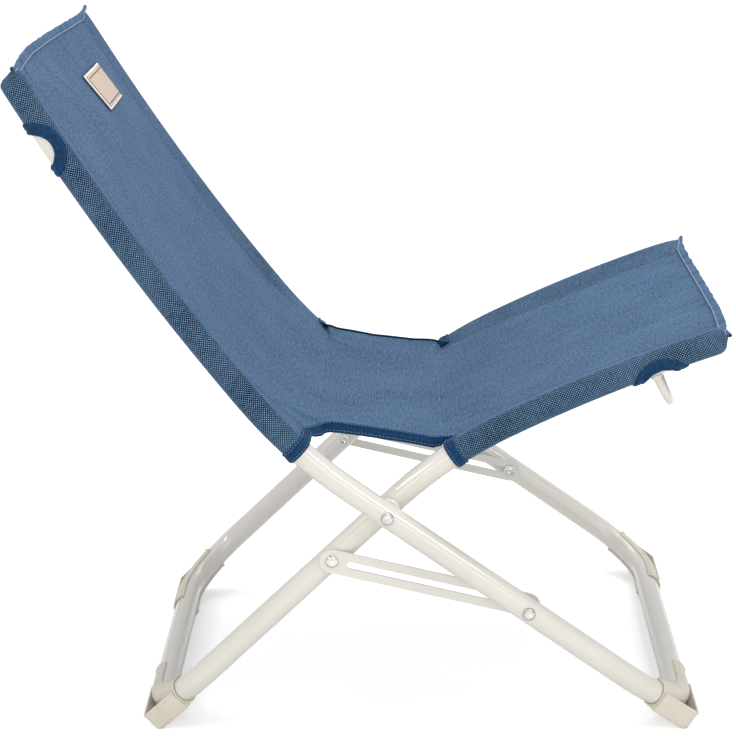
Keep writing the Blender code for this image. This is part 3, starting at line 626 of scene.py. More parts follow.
def wrinkle(across, along, from_hem):
    """Small waves of the sheet: puckers under a hem and slow unevenness."""
    slow = noise.noise(Vector((across * 9.0, along * 7.0, 1.7))) * 0.0011
    fine = noise.noise(Vector((across * 34.0, along * 10.0, 6.1))) * 0.00045
    pucker = noise.noise(Vector((across * 62.0, along * 6.0, 3.3))) * 0.0018
    return slow + fine + pucker * bell(from_hem, 0.0, 0.040)


# Soft folds of the sheet: (distance along, reach, turn in degrees, length, width, height).
FOLDS = (
    (0.052, -0.125, 62.0, 0.050, 0.0060, 0.0016),
    (0.060, -0.060, 50.0, 0.055, 0.0075, 0.0014),
    (0.050, 0.130, 118.0, 0.050, 0.0065, 0.0018),
    (0.046, 0.045, 96.0, 0.035, 0.0070, 0.0010),
    (0.455, -0.190, 30.0, 0.050, 0.0060, 0.0018),
    (0.470, -0.165, 50.0, 0.045, 0.0055, 0.0014),
    (0.470, 0.180, -40.0, 0.050, 0.0060, 0.0015),
    (0.690, -0.165, -38.0, 0.045, 0.0055, 0.0013),
    (0.870, 0.120, 12.0, 0.060, 0.0070, 0.0010),
    (0.930, -0.110, -14.0, 0.050, 0.0070, 0.0010),
)
FOLD_REACH = 0.12


def fold_height(across, along):
    """Sum of the soft folds at a place on the sheet."""
    total = 0.0
    for middle, reach, turn, length, width, height in FOLDS:
        run = along - middle
        off = across - reach
        if abs(run) > FOLD_REACH or abs(off) > FOLD_REACH:
            continue
        angle = math.radians(turn)
        onward = run * math.cos(angle) + off * math.sin(angle)
        beside = off * math.cos(angle) - run * math.sin(angle)
        total += height * bell(onward, 0.0, length) * bell(beside, 0.0, width)
    return total


# Height of the hip edge over the straight line between the pocket mouths, by share of the span.
HIP_KNOTS = (
    (0.06, 0.0046), (0.16, 0.0070), (0.32, 0.0072), (0.52, 0.0064), (0.74, 0.0052), (0.90, 0.0034),
)
HIP_STEPS = 7
# Extra height of the far hip edge, which is drawn tighter at both of its ends.
FAR_HIP_LIFT = (
    (0.0, 0.0), (0.10, 0.0050), (0.28, 0.0010), (0.50, -0.0012), (0.72, 0.0010), (0.90, 0.0062), (1.0, 0.0),
)
# Shares of the hip span between which the tape keeps to the cut edge.
SWEEP_START = 0.20
SWEEP_END = 0.84
DRAPE_SPREAD = 0.026
DRAPE_REACH = 0.085
SHEET_SAG = 0.0030
HIP_SAG = 0.0035
# Soft crease in the middle of the hips, and the taut stretch of the back: middle, width, amount.
HIP_CREASE = (0.52, 0.06, 0.0012)
TAUT_BACK = (0.10, 0.05, 2.2)


class Row:
    """One row of the sheet, from edge to edge across the chair."""

    def __init__(self, base, sitter, edge, region, place):
        self.base = base  # point in the side plane, level with the seams
        self.sitter = sitter  # direction toward the sitter
        self.normal = in_space(sitter)
        self.edge = edge  # half width
        self.region = region  # back, hip or seat
        self.place = place  # distance from the free end, or share of the hip span


def frame_rows(region, start, end):
    """Rows of the sheet on one frame, between two distances from its free end."""
    rows = []
    for step in range(ROW_COUNT[region] + 1):
        from_end = start + (end - start) * step / ROW_COUNT[region]
        centre, _, sitter = station(region, from_end)
        section = Pocket(region, from_end)
        edge = HALF_WIDTH[region] - section.inset
        rows.append(Row(centre + sitter * section.rise, sitter, edge, region, from_end))
    return rows


def hip_rows(back, seat):
    """Rows of the hip span: the sheet leaves the back pockets, dips and rises to the seat ones."""
    start = back[-1].base
    end = seat[0].base
    between = [start.lerp(end, share) + Vector((0.0, lift)) for share, lift in HIP_KNOTS]
    knots = [back[-3].base, start, *between, end, seat[2].base]
    curve = smooth_outline(knots, HIP_STEPS)[HIP_STEPS:-HIP_STEPS]
    total = len(curve) - 1
    rows = []
    for index in range(1, total):
        share = index / total
        tangent = (curve[index + 1] - curve[index - 1]).normalized()
        edge = WAIST + (back[-1].edge - WAIST) * (1.0 - smoothstep(0.0, 0.24, share))
        edge += (seat[0].edge - WAIST) * smoothstep(0.80, 1.0, share)
        rows.append(Row(curve[index], Vector((-tangent.y, tangent.x)), edge, "hip", share))
    return rows


def add_drape(rows):
    """Give each row the smoother line that the middle of the cloth follows at the hips."""
    hips = [row.run for row in rows if row.region == "hip"]
    for row in rows:
        total = 0.0
        mean = Vector((0.0, 0.0))
        for other in rows:
            weight = bell(other.run, row.run, DRAPE_SPREAD)
            mean += other.base * weight
            total += weight
        outside = max(hips[0] - row.run, row.run - hips[-1], 0.0)
        near = 1.0 - smoothstep(0.3 * DRAPE_REACH, DRAPE_REACH, outside)
        row.drape = row.base.lerp(mean / total, near)


def sheet_rows():
    """Rows of the sheet from the top hem to the front hem."""
    back = frame_rows("back", -OVERHANG, LENGTH["back"] - MOUTH["back"])
    seat = frame_rows("seat", LENGTH["seat"] - MOUTH["seat"], -OVERHANG)
    rows = back + hip_rows(back, seat) + seat
    rows[0].run = 0.0
    for before, row in zip(rows, rows[1:]):
        row.run = before.run + (row.base - before.base).length
    for row in rows:
        row.from_hem = min(row.run, rows[-1].run - row.run)
    add_drape(rows)
    return rows


ROWS = sheet_rows()
HIP_ROWS = [row for row in ROWS if row.region == "hip"]


def sheet_point(row, share, lift=0.0):
    """Point of the sheet on a row at a share of the way to its edge."""
    reach = row.edge * share
    base = row.base.lerp(row.drape, 1.0 - abs(share) ** 3)
    sag = SHEET_SAG * (1.0 - share * share)
    if row.region == "hip":
        middle, width, depth = HIP_CREASE
        sag -= table_value(FAR_HIP_LIFT, row.place) * max(share, 0.0) ** 5
        sag += HIP_SAG * (1.0 - share**4) * math.sin(math.pi * row.place)
        sag += depth * bell(row.place, middle, width) * (1.0 - abs(share))
    else:
        onward = Vector((row.sitter.y, -row.sitter.x))
        if row.region == "back":
            middle, width, pull = TAUT_BACK
            sag *= 1.0 - pull * bell(row.place, middle, width)
            onward = -onward
        base = base - onward * end_pull(row.region, row.place, reach)
    fade = 1.0 - smoothstep(0.90, 1.0, abs(share))
    waves = wrinkle(reach, row.run, row.from_hem) + fold_height(reach, row.run)
    return in_space(base + row.sitter * (lift - sag + waves * fade), reach)


# Radii about a notch's centre: cloth inside the first is left out, and cloth out to the second
# is drawn under the tape, at the third.
NOTCH_CUT = NOTCH_HOLE * 0.55
NOTCH_GATHER = NOTCH_HOLE + 0.004
NOTCH_EDGE = NOTCH_HOLE + 0.002


def pocket_line(cloth, row, side, seam):
    """Vertices of one row round a pocket, from the seam; None where the notch is cut."""
    section = Pocket(row.region, row.place)
    notch = NOTCH_PLACE[row.region]
    middle = section.back + NOTCH_TURN[row.region]
    down = row.place - notch
    line = [seam]
    for step in range(1, POCKET_COLUMNS + 1):
        place = row.place
        arc = section.length * step / POCKET_COLUMNS
        away = math.hypot(down, arc - middle)
        if away <= NOTCH_CUT:
            line.append(None)
            continue
        if away < NOTCH_GATHER:
            push = NOTCH_EDGE / away
            place = notch + down * push
            arc = middle + (arc - middle) * push
        point = pocket_point(row.region, side, place, arc)
        line.append(cloth.vert(point, side * (row.edge + arc), row.run + place - row.place))
    return line


def sling_body(material):
    """The whole sling: one sheet with a sleeve along each tube, cut out at the hips."""
    cloth = Cloth()
    sheet = []
    for row in ROWS:
        line = []
        for step in range(SHEET_COLUMNS + 1):
            share = 2.0 * step / SHEET_COLUMNS - 1.0
            line.append(cloth.vert(sheet_point(row, share), row.edge * share, row.run))
        sheet.append(line)
    cloth.faces(sheet)
    for region in REGIONS:
        for _, side in SIDES:
            lines = []
            for row, across in zip(ROWS, sheet):
                if row.region == region:
                    seam = across[-1 if side > 0 else 0]
                    lines.append(pocket_line(cloth, row, side, seam))
            cloth.faces(lines[::side])
    work = cloth.work
    centre = Vector((0, 0, 0.3))
    middle = min(work.faces, key=lambda face: (face.calc_center_median() - centre).length)
    if middle.normal.z < 0:
        bmesh.ops.reverse_faces(work, faces=work.faces)
    bmesh.ops.delete(work, geom=[v for v in work.verts if not v.link_faces], context="VERTS")
    sling = new_object("sling_fabric", work, material, sharp=None, solid=False)
    skin = sling.modifiers.new("cloth thickness", "SOLIDIFY")
    skin.thickness = CLOTH
    skin.offset = 1.0
    return sling


def strip(name, sections, material, closed_path=False):
    """Closed solid through a list of closed sections, each a list of points."""
    cloth = Cloth()
    rows = []
    run = 0.0
    for index, section in enumerate(sections):
        if index:
            run += (section[0] - sections[index - 1][0]).length
        row = []
        around = 0.0
        for step, point in enumerate(section):
            if step:
                around += (point - section[step - 1]).length
            row.append(cloth.vert(point, around, run))
        rows.append(row)
    cloth.faces(rows, closed_rows=closed_path, closed_columns=True)
    if not closed_path:
        cloth.work.faces.new(rows[0][::-1])
        cloth.work.faces.new(rows[-1])
    return new_object(name, cloth.work, material, 70)


# Upper side of the hip tape: share of the way across it, height in tape thicknesses.
TAPE_CROWN = (
    (0.0, 0.10), (0.05, 0.80), (0.16, 1.0), (0.26, 0.55), (0.36, 0.95), (0.62, 1.15), (0.90, 1.0), (1.0, 0.3),
)


def tape_section(inner, outer, normal):
    """Section of a tape lying between two edges, folded round the cloth."""
    top = [inner.lerp(outer, share) + normal * (TAPE_THICK * lift) for share, lift in TAPE_CROWN]
    return top + [inner.lerp(outer, share) - normal * TAPE_UNDER for share in (1.0, 0.5, 0.0)]


def mouth_rail(region, side):
    """Edges and normals of the tape round one pocket's mouth, from the lower seam to the upper."""
    from_end = LENGTH[region] - MOUTH[region]
    outer = Pocket(region, from_end).length
    inner = Pocket(region, from_end - TAPE_WIDTH).length
    rail = []
    count = 30
    for step in range(count + 1):
        share = 1.0 - step / count
        base = pocket_point(region, side, from_end, outer * share)
        lifted = pocket_point(region, side, from_end, outer * share, 0.001)
        upper = pocket_point(region, side, from_end - TAPE_WIDTH, inner * share)
        lower = pocket_point(region, side, from_end + TAPE_LAP, outer * share)
        rail.append((upper, lower, (lifted - base).normalized()))
    return rail


def hip_rail(side):
    """Inner edge, outer edge and normal all along the hip tape.

    The tape takes the corners at the pocket mouths in a sweep: each point of its inner edge goes
    on from the one before it toward the cut edge.
    """
    out = Vector((0.0, side, 0.0))
    stand = FAR_TAPE_STAND if side > 0 else NEAR_TAPE_STAND
    edges = []
    for row in HIP_ROWS[1:-1]:
        edges.append((row.place, sheet_point(row, side * 0.992) + row.normal * stand, row.normal))
    first = min(edges, key=lambda edge: abs(edge[0] - SWEEP_START))
    last = min(edges, key=lambda edge: abs(edge[0] - SWEEP_END))
    rail = mouth_rail("back", side)[:-2]
    seat = mouth_rail("seat", side)[::-1][2:]
    for share, edge, sitter in edges:
        ends = smoothstep(0.0, 0.14, share) * (1.0 - smoothstep(0.88, 1.0, share))
        lower = edge - sitter * (HIP_TAPE_DROP * (0.35 + 0.65 * ends)) + out * HIP_TAPE_OUT
        upper = edge
        if share < first[0]:
            upper = rail[-1][0].lerp(first[1], share / first[0])
        elif share > last[0]:
            upper = last[1].lerp(seat[0][0], (share - last[0]) / (1.0 - last[0]))
        if upper.z < edge.z:
            upper = edge
        rail.append((upper, lower, (out * 0.93 + sitter * 0.36).normalized()))
    uppers, lowers, normals = (smooth_outline(line, 2) for line in zip(*rail, *seat))
    return uppers, lowers, [normal.normalized() for normal in normals]


def hip_binding(hand, side, material):
    """One length of tape: back pocket mouth, hip edge, seat pocket mouth."""
    sections = []
    for index, (upper, lower, normal) in enumerate(zip(*hip_rail(side))):
        wave = noise.noise(Vector((index * 0.35, side * 3.1, 0.4))) * 0.0007
        sections.append(tape_section(upper, lower + normal * wave, normal))
    return strip(f"hip_binding_{hand}", sections, material)


def hip_stitches(edge, hand, side, share, lift, material):
    """Line of sewing at a share of the way across the hip tape."""
    uppers, lowers, normals = hip_rail(side)
    path = []
    for upper, lower, normal in zip(uppers, lowers, normals):
        path.append(upper.lerp(lower, share) + normal * lift)
    return stitches(f"hip_stitch_{edge}_{hand}", path, normals, material, 0.0024, 0.0012, 0.00035)


# Section of the notch tape: distance out from the hole's edge, height over the cloth.
NOTCH_SECTION = (
    (-0.0004, 0.0002), (-0.0002, 0.0016), (0.0012, 0.0026), (0.0032, 0.0026), (0.0044, 0.0015),
    (0.0058, 0.0022), (NOTCH_TAPE - 0.0022, 0.0021), (NOTCH_TAPE - 0.0006, 0.0015),
    (NOTCH_TAPE, 0.0007), (NOTCH_TAPE - 0.001, -0.0001), (0.002, -0.0001),
)


def notch_binding(region, hand, side, material):
    """Ring of tape round one half-round notch."""
    sections = []
    count = 72
    for step in range(count):
        angle = math.tau * step / count
        points = []
        for out, lift in NOTCH_SECTION:
            reach = NOTCH_HOLE + out
            wobble = noise.noise(Vector((angle * 5.2, side * 2.0, reach * 190.0))) * 0.0007
            from_end = NOTCH_PLACE[region] + reach * math.cos(angle)
            section = Pocket(region, from_end)
            arc = section.back + NOTCH_TURN[region] + reach * math.sin(angle)
            arc = min(arc, section.length - 0.002)
            points.append(pocket_point(region, side, from_end, arc, lift + wobble))
        sections.append(points)
    return strip(f"{region}_notch_binding_{hand}", sections, material, closed_path=True)


def hem(region, material):
    """Doubled hem with small puckers, and the line and normals of its sewing."""
    section = Pocket(region, -OVERHANG)
    tube_end, direction, sitter = station(region, -OVERHANG)
    outward = in_space(direction)
    normal = in_space(sitter)
    # Places along the hem: share across the sheet, share out along the flattened sleeve.
    shares = [(-1.0, 1.0 - step / HEM_ENDS) for step in range(HEM_ENDS + 1)]
    shares += [(2.0 * step / SHEET_COLUMNS - 1.0, 0.0) for step in range(1, SHEET_COLUMNS)]
    shares += [(1.0, step / HEM_ENDS) for step in range(HEM_ENDS + 1)]
    sections = []
    sewing = []
    for share, out in shares:
        if out > 0.0:
            arc = out * section.length / 2
            across = share * (HALF_WIDTH[region] - section.inset + arc)
            centre = tube_end - direction * end_pull(region, -OVERHANG, across)
            spot = in_space(centre + sitter * section.ear(arc), across)
            top, under = 0.0019, 0.0016
        else:
            spot = sheet_point(ROWS[0 if region == "back" else -1], share)
            top, under = 0.0017, 0.0010
        wave = noise.noise(Vector((spot.y * 46.0, 2.0, 8.0))) * 0.0009
        rim = noise.noise(Vector((spot.y * 60.0, 5.0, 2.0))) * 0.0009
        corner = 0.003 * smoothstep(0.45, 1.0, out)
        deep = HEM_DEPTH * (1.0 - 0.62 * smoothstep(0.0, 0.7, out))
        points = []
        for back, lift in (
            (-0.0006, 0.0),
            (0.0002, top * 0.75),
            (0.0018, top),
            (deep * 0.5, top * 0.95),
            (deep - 0.0015, top),
            (deep, top * 0.4),
            (deep, -under * 0.4),
            (deep - 0.0015, -under),
            (0.0018, -under),
            (0.0002, -under * 0.75),
        ):
            slide = rim * (1.0 - back / deep) + corner
            points.append(spot - outward * (back - slide) + normal * (lift + wave))
        sections.append(points)
        sewing.append(spot - outward * (deep - HEM_SEWING) + normal * (top + wave + 0.0001))
    return strip(f"{region}_hem", sections, material), sewing, [normal] * len(sewing)


# One stitch: share of its length, share of its thickness.
STITCH = ((0.0, 0.25), (0.12, 0.8), (0.5, 1.0), (0.88, 0.8), (1.0, 0.25))


def stitches(name, path, normals, material, length=0.0030, gap=0.0014, width=0.00045):
    """Row of thread stitches lying on a path."""
    work = bmesh.new()
    runs = [0.0]
    for first, second in zip(path, path[1:]):
        runs.append(runs[-1] + (second - first).length)
    last = len(runs) - 2

    def at(distance):
        index = next((i for i in range(last) if distance <= runs[i + 1]), last)
        share = (distance - runs[index]) / max(runs[index + 1] - runs[index], 1e-9)
        spot = path[index].lerp(path[index + 1], share)
        return spot, normals[index].lerp(normals[index + 1], share).normalized()

    distance = gap
    while distance + length < runs[-1]:
        rings = []
        forward = (at(distance + length)[0] - at(distance)[0]).normalized()
        for share, swell in STITCH:
            spot, normal = at(distance + length * share)
            across = forward.cross(normal).normalized()
            spot = spot + normal * (width * (0.9 * swell - 0.35))
            rings.append(oval(work, spot, across, normal, width * swell, width * swell))
        capped_run(work, rings)
        distance += length + gap
    return new_object(name, work, material, 60)


def seam_stitches(region, hand, side, material):
    """Sewing on the sheet beside a pocket seam."""
    rows = [row for row in ROWS if row.region == region and row.from_hem >= SEAM_SEWING_START]
    path = [sheet_point(row, side * (1.0 - SEAM_SEWING / row.edge), CLOTH) for row in rows]
    return stitches(f"{region}_seam_stitch_{hand}", path, [row.normal for row in rows], material)


# -------- label


def label_point(down, over, lift):
    """Point and normal over the sheet, by offsets from the label's middle."""
    from_end = LABEL_FROM_TOP + down
    across = LABEL_SIDE + over
    for first, second in zip(ROWS, ROWS[1:]):
        if (first.place - from_end) * (second.place - from_end) <= 0.0:
            break
    share = (from_end - first.place) / (second.place - first.place)
    low = sheet_point(first, across / first.edge, CLOTH + lift)
    high = sheet_point(second, across / second.edge, CLOTH + lift)
    return low.lerp(high, share), first.normal


def label_slab(name, width, height, corner, low, high, material):
    """Rounded rectangle of woven ribbon that follows the sheet."""
    cloth = Cloth()

    def rounded(x, y):
        over_x = abs(x) - (width / 2 - corner)
        over_y = abs(y) - (height / 2 - corner)
        if over_x > 0 and over_y > 0:
            pull = max(over_x, over_y) / math.hypot(over_x, over_y)
            x = math.copysign(width / 2 - corner + over_x * pull, x)
            y = math.copysign(height / 2 - corner + over_y * pull, y)
        return x, y

    def layer(lift):
        rows = []
        for j in range(LABEL_ROWS + 1):
            row = []
            for i in range(LABEL_COLUMNS + 1):
                x, y = rounded((i / LABEL_COLUMNS - 0.5) * width, (j / LABEL_ROWS - 0.5) * height)
                rim = max(abs(x) / (width / 2), abs(y) / (height / 2))
                soften = LABEL_SOFT_RIM if rim > 0.97 else 0.0
                point, _ = label_point(y, x, lift - soften + LABEL_PILLOW * (1.0 - rim**4))
                row.append(cloth.vert(point, x, y))
            rows.append(row)
        cloth.faces(rows)
        sides = [row[-1] for row in rows[1:]], [row[0] for row in rows[-2:0:-1]]
        return rows[0] + sides[0] + rows[-1][-2::-1] + sides[1]

    upper = layer(high)
    cloth.faces([layer(low), upper], closed_columns=True)
    return new_object(name, cloth.work, material)


def label_thread_and_shadow(name, lines, material):
    """Raised threads on the label, some of them dark edging that also paints the label's shadow: (down, over) of
    both ends, width and height of each.
    """
    work = bmesh.new()
    steps = 24
    for first, second, width, lift in lines:
        rings = []
        run = Vector(second) - Vector(first)
        for step in range(steps + 1):
            spot = Vector(first) + run * (step / steps)
            point, normal = label_point(*spot, lift)
            forward = (label_point(*(spot + run * 0.01), lift)[0] - point).normalized()
            across = forward.cross(normal).normalized()
            rings.append(oval(work, point, across, normal, width, LABEL_THREAD_HEIGHT))
        capped_run(work, rings)
    return new_object(name, work, material, 60)


# -------- build: materials

CREAM = powder_coat("cream_powder_coat", srgb(216, 212, 203), srgb(211, 206, 196))
STAY_PAINT = powder_coat("stay_powder_coat", srgb(218, 215, 207), srgb(210, 206, 196))
ZINC = zinc("bright_zinc")
SHOE = moulded("shoe_plastic", srgb(212, 206, 191), srgb(203, 196, 180), 0.42)
SPACER = moulded("spacer_plastic", srgb(238, 236, 228), srgb(228, 225, 214), 0.36)
MESH = mesh_cloth("mesh_cloth")
TAPE = tape_cloth("binding_tape")
HEM_THREAD = thread("hem_thread", srgb(196, 206, 228))
SEAM_THREAD = thread("seam_thread", srgb(104, 130, 166))
TAPE_THREAD = thread("tape_thread", srgb(96, 140, 184))
# Dark label thread, also the colour of the painted shadow along the label's edges.
DARK_THREAD_AND_SHADOW = thread("label_thread_and_shadow", srgb(58, 46, 48))
LABEL_BORDER = label_cloth("label_border", srgb(242, 239, 236), srgb(232, 226, 222))
LABEL_FACE = label_cloth("label_face", srgb(214, 194, 180), srgb(204, 182, 168))
FINISHES = {
    "powder_coat": CREAM,
    "stay_paint": STAY_PAINT,
    "zinc": ZINC,
    "shoe_plastic": SHOE,
    "spacer_plastic": SPACER,
    "mesh_cloth": MESH,
    "label_cloth": TAPE,
}
SLOTS = {entry["node"]: entry["material_slot"] for entry in frame["record"]["subparts"]}

# -------- build: frames


def mount(piece, region, slot, *nodes):
    """Ride a piece on a frame and stand for CAD nodes; the slot is not used."""
    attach(piece, f"{region}_frame")
    if nodes:
        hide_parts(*nodes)


def finish_node(node, item):
    """Give a CAD node its material, and soft edges where it is moulded or a bar."""
    item.data.materials.clear()
    item.data.materials.append(FINISHES[SLOTS[node]])
    if node.endswith("_bar") or "_shoe_" in node:
        soft = item.modifiers.new("soft edges", "BEVEL")
        soft.width = 0.0004
        soft.segments = 2
        soft.limit_method = "ANGLE"
        soft.angle_limit = math.radians(50)


def frame_path(region, steps=24):
    """Centreline of a whole frame, from one tube end round the foot to the other.

    The ends stop short of the CAD's, so that the loose cloth can close over them.
    """
    leg = LEG[region]
    corner = PIVOT + leg * LEG_LENGTH[region]
    end, _ = along_path(RISE[region], LENGTH[region] - TUBE_TRIM)
    whole = [point for point in RISE[region] if (point - PIVOT).length < (end - PIVOT).length]
    side = [in_space(point, HALF_WIDTH[region]) for point in [end, *reversed(whole)]]
    for step in range(steps + 1):
        angle = math.radians(90.0 * step / steps)
        spot = corner + leg * (FOOT_BEND_RADIUS * (math.sin(angle) - 1.0))
        side.append(in_space(spot, HALF_WIDTH[region] - FOOT_BEND_RADIUS * (1.0 - math.cos(angle))))
    return side + [Vector((point.x, -point.y, point.z)) for point in reversed(side)]


def steel_tube(name, path, material):
    """Bent tube with its wall and open ends."""
    work = bmesh.new()
    outer = swept(work, path, TUBE_RADIUS)
    inner = swept(work, path, TUBE_RADIUS - TUBE_WALL)
    grid_faces(work, outer, closed_columns=True)
    grid_faces(work, inner, closed_columns=True)
    for end in (0, -1):
        grid_faces(work, [outer[end], inner[end]], closed_columns=True)
    return new_object(name, work, material)


# End plug: (radius, height over the tube's end).
PLUG_OUTLINE = (
    (0.0, -0.012), (0.0098, -0.012), (0.0108, -0.010), (0.0110, 0.0002), (0.0122, 0.0004),
    (0.0124, 0.0012), (0.0112, 0.0022), (0.0070, 0.0027), (0.0, 0.0028),
)

for region in REGIONS:
    path = frame_path(region)
    tube = steel_tube(f"{region}_tube", path, CREAM)
    mount(tube, region, "powder_coat", f"{region}_frame_tube")
    for hand, side in SIDES:
        centre = Vector((path[0].x, side * path[0].y, path[0].z))
        plug = turned(f"{region}_end_plug_{hand}", PLUG_OUTLINE, centre, path[0] - path[1], SPACER)
        mount(plug, region, "spacer_plastic", f"{region}_plug_{hand}")
for node, item in frame["nodes"].items():
    finish_node(node, item)

# Foot shoes: lips round their mouths.
SHOE_WALL = 0.0018
SHOE_MOUTH_ANGLE = 30.0
SHOE_LENGTH = 0.117
SHOE_LIP_SWEEP = 117.0
BEAD_RADIUS = 0.0009


def shoe_bead(name, region, side, at_leg):
    """Rounded lip round one mouth of a foot shoe."""
    leg = LEG[region]
    along = in_space(leg)
    outboard = Vector((0.0, side, 0.0))
    up = Vector((-leg.y, 0.0, leg.x))
    if up.z < 0:
        up = -up
    origin = in_space(PIVOT + leg * LEG_LENGTH[region], side * HALF_WIDTH[region])
    if at_leg:
        turn = math.radians(SHOE_MOUTH_ANGLE)
        radial = along * math.sin(turn) + outboard * math.cos(turn)
        hub = origin + (radial - along - outboard) * FOOT_BEND_RADIUS
    else:
        radial = along
        hub = origin - outboard * SHOE_LENGTH
    path = []
    steps = 40
    for step in range(steps + 1):
        angle = math.radians(SHOE_LIP_SWEEP * (2.0 * step / steps - 1.0))
        out = radial * math.cos(angle) + up * math.sin(angle)
        path.append(hub + out * (TUBE_RADIUS + SHOE_WALL))
    work = bmesh.new()
    capped_run(work, swept(work, path, BEAD_RADIUS, 10))
    return new_object(name, work, SHOE, 60)


for label, region in (("front", "back"), ("rear", "seat")):
    for hand, side in SIDES:
        for spot, at_leg in (("leg", True), ("cross", False)):
            bead = shoe_bead(f"{label}_shoe_{spot}_lip_{hand}", region, side, at_leg)
            mount(bead, region, "shoe_plastic")

# -------- build: sling


def bend(piece, *nodes):
    """Bake a piece of cloth's transform into its mesh, and stand for CAD nodes."""
    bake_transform(piece)
    if nodes:
        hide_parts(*nodes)


bend(sling_body(MESH), "sling_back", "sling_seat", "sling_hip")
for hand, side in SIDES:
    bend(hip_binding(hand, side, TAPE))
    bend(hip_stitches("inner", hand, side, 0.10, 0.0017, TAPE_THREAD))
    bend(hip_stitches("outer", hand, side, 0.80, 0.0018, TAPE_THREAD))
    for region in REGIONS:
        mount(notch_binding(region, hand, side, TAPE), region, "mesh_cloth")
        mount(seam_stitches(region, hand, side, SEAM_THREAD), region, "mesh_cloth")
for region in REGIONS:
    edge, path, normals = hem(region, MESH)
    mount(edge, region, "mesh_cloth")
    mount(stitches(f"{region}_hem_stitch", path, normals, HEM_THREAD), region, "mesh_cloth")

# -------- build: label

FACE_WIDTH = LABEL_WIDTH - 0.018
FACE_HEIGHT = LABEL_HEIGHT - 0.0052
border = label_slab("label_border", LABEL_WIDTH, LABEL_HEIGHT, 0.0025, 0.0001, 0.0011, LABEL_BORDER)
face = label_slab("label_face", FACE_WIDTH, FACE_HEIGHT, 0.0015, 0.0009, 0.0019, LABEL_FACE)
half_high = LABEL_HEIGHT / 2
half_wide = LABEL_WIDTH / 2
thread_and_shadow_lines = []
for end in (-1, 1):
    # Lines across the label: on the face, and dark edging along its long edges, partly stitching and partly
    # painted shadow of the label on the sheet.
    for down, over, width, lift in (
        (end * (half_high - 0.0062), half_wide - 0.014, 0.0005, 0.0023),
        (end * (half_high + 0.0002), half_wide, 0.0006, 0.0008),
    ):
        thread_and_shadow_lines.append(((down, -over), (down, over), width, lift))
    # Lines down the label: dark edging along its short edges, stitching widened into painted shadow of the label
    # on the sheet, and beside the face.
    for down, over, width, lift in (
        (half_high, end * (half_wide + 0.0004), 0.0022, 0.0008),
        (half_high - 0.0028, end * (half_wide - 0.009), 0.0006, 0.0017),
    ):
        thread_and_shadow_lines.append(((-down, over), (down, over), width, lift))
mount(border, "back", "label_cloth", "label_patch")
mount(face, "back", "label_cloth")
# Label edging: dark threads, partly painted shadow of the label on the sheet.
mount(label_thread_and_shadow("label_edging_and_shadow", thread_and_shadow_lines, DARK_THREAD_AND_SHADOW), "back", "label_cloth")

# -------- stage, light and camera

CAMERA_PLACE = Vector((0.0508, -2.6998, 1.0032))
CAMERA_YAW = -1.374
CAMERA_PITCH = 14.107
CAMERA_ROLL = -1.864
CAMERA_LENS = 125.1
WHITE = (1.0, 1.0, 1.0, 1.0)
WORLD_LOW = 0.57
WORLD_HIGH = 0.90
FLOOR_GLOW = 0.36


def add_camera():
    """Long lens from the sitter's right, a little above the chair."""
    yaw = math.radians(CAMERA_YAW)
    pitch = math.radians(CAMERA_PITCH)
    roll = math.radians(CAMERA_ROLL)
    right = Vector((math.cos(yaw), -math.sin(yaw), 0.0))
    level = Vector((math.sin(yaw), math.cos(yaw), 0.0))
    forward = level * math.cos(pitch) - Vector((0.0, 0.0, math.sin(pitch)))
    up = right.cross(forward)
    across = right * math.cos(roll) + up * math.sin(roll)
    upward = up * math.cos(roll) - right * math.sin(roll)
    data = bpy.data.cameras.new("camera")
    data.lens = CAMERA_LENS
    data.sensor_width = 36.0
    data.clip_end = 60.0
    camera = bpy.data.objects.new("camera", data)
    bpy.context.scene.collection.objects.link(camera)
    turn = Matrix((across, upward, -forward)).transposed()
    camera.matrix_world = Matrix.Translation(CAMERA_PLACE) @ turn.to_4x4()
    bpy.context.scene.camera = camera


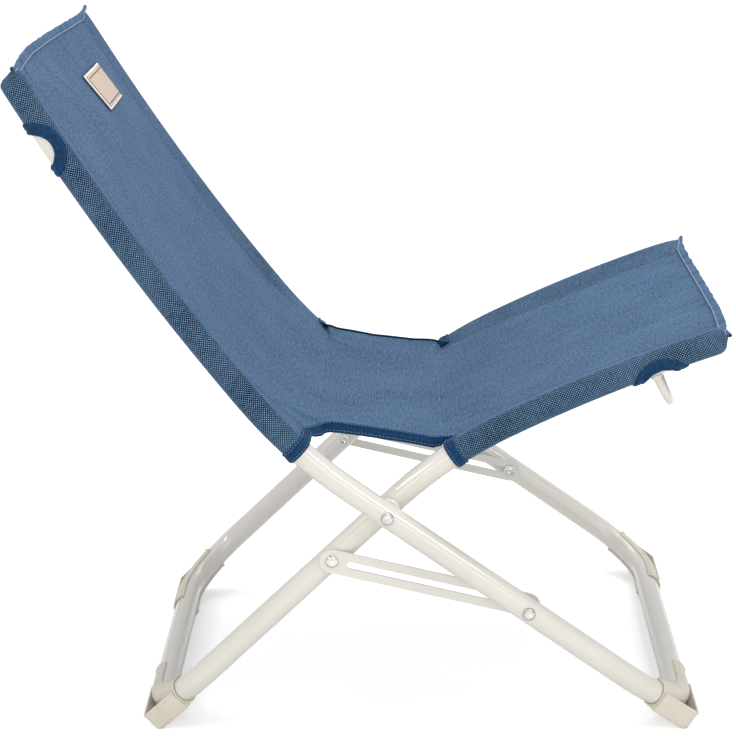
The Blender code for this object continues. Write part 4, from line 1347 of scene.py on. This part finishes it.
def add_floor():
    """Plain pale floor that glows a little to the camera."""
    work = bmesh.new()
    bmesh.ops.create_grid(work, x_segments=1, y_segments=1, size=30.0)
    make = Nodes("floor_white")
    tint = make.blotches(3.0, 2.0, 0.5, make.coords("Object"), 0.3, 0.7)
    seen = make.add("ShaderNodeLightPath").outputs["Is Camera Ray"]
    material = make.set(
        Base__Color=make.mix(tint, (0.90, 0.90, 0.90, 1.0), (0.92, 0.92, 0.92, 1.0)),
        Roughness=0.9,
        Emission__Color=WHITE,
        Emission__Strength=make.times(seen, FLOOR_GLOW),
    )
    floor = new_object("floor", work, material, sharp=None, solid=False)
    floor.location = (0.0, 0.0, -0.0002)


def add_world():
    """White surroundings, dimmer low down, and full white to the camera."""
    make = Nodes("studio", bpy.data.worlds.new("studio"), "Background")
    height = make.add("ShaderNodeSeparateXYZ", Vector=make.coords("Generated")).outputs[2]
    level = make.ramp(height, -0.2, 0.9, WORLD_LOW, WORLD_HIGH)
    seen = make.add("ShaderNodeLightPath").outputs["Is Camera Ray"]
    bpy.context.scene.world = make.set(Color=WHITE, Strength=make.ramp(seen, 0.0, 1.0, level, 1.0))


def add_light(name, place_at, target, size, power, colour=WHITE[:3]):
    """Soft area light aimed at a point."""
    data = bpy.data.lights.new(name, "AREA")
    data.shape = "RECTANGLE"
    data.size, data.size_y = size
    data.energy = power
    data.color = colour
    lamp = bpy.data.objects.new(name, data)
    bpy.context.scene.collection.objects.link(lamp)
    lamp.location = place_at
    aim = Vector(target) - Vector(place_at)
    lamp.rotation_euler = aim.to_track_quat("-Z", "Y").to_euler()


add_camera()
add_floor()
add_world()
add_light("top", (0.5, 0.6, 2.9), (0.0, 0.0, 0.3), (2.4, 1.6), 27.0, (0.98, 0.99, 1.0))
add_light("front", (0.0, -2.9, 0.9), (0.0, 0.0, 0.25), (3.4, 0.7), 18.0)
add_light("right_strip", (1.95, -2.0, 2.15), (0.05, -0.2, 0.2), (1.5, 0.22), 13.0)
add_light("left_strip", (-2.3, -1.1, 2.15), (-0.05, -0.2, 0.2), (1.8, 0.22), 13.0)
bpy.context.scene.view_settings.view_transform = "Standard"
bpy.context.scene.view_settings.look = "None"
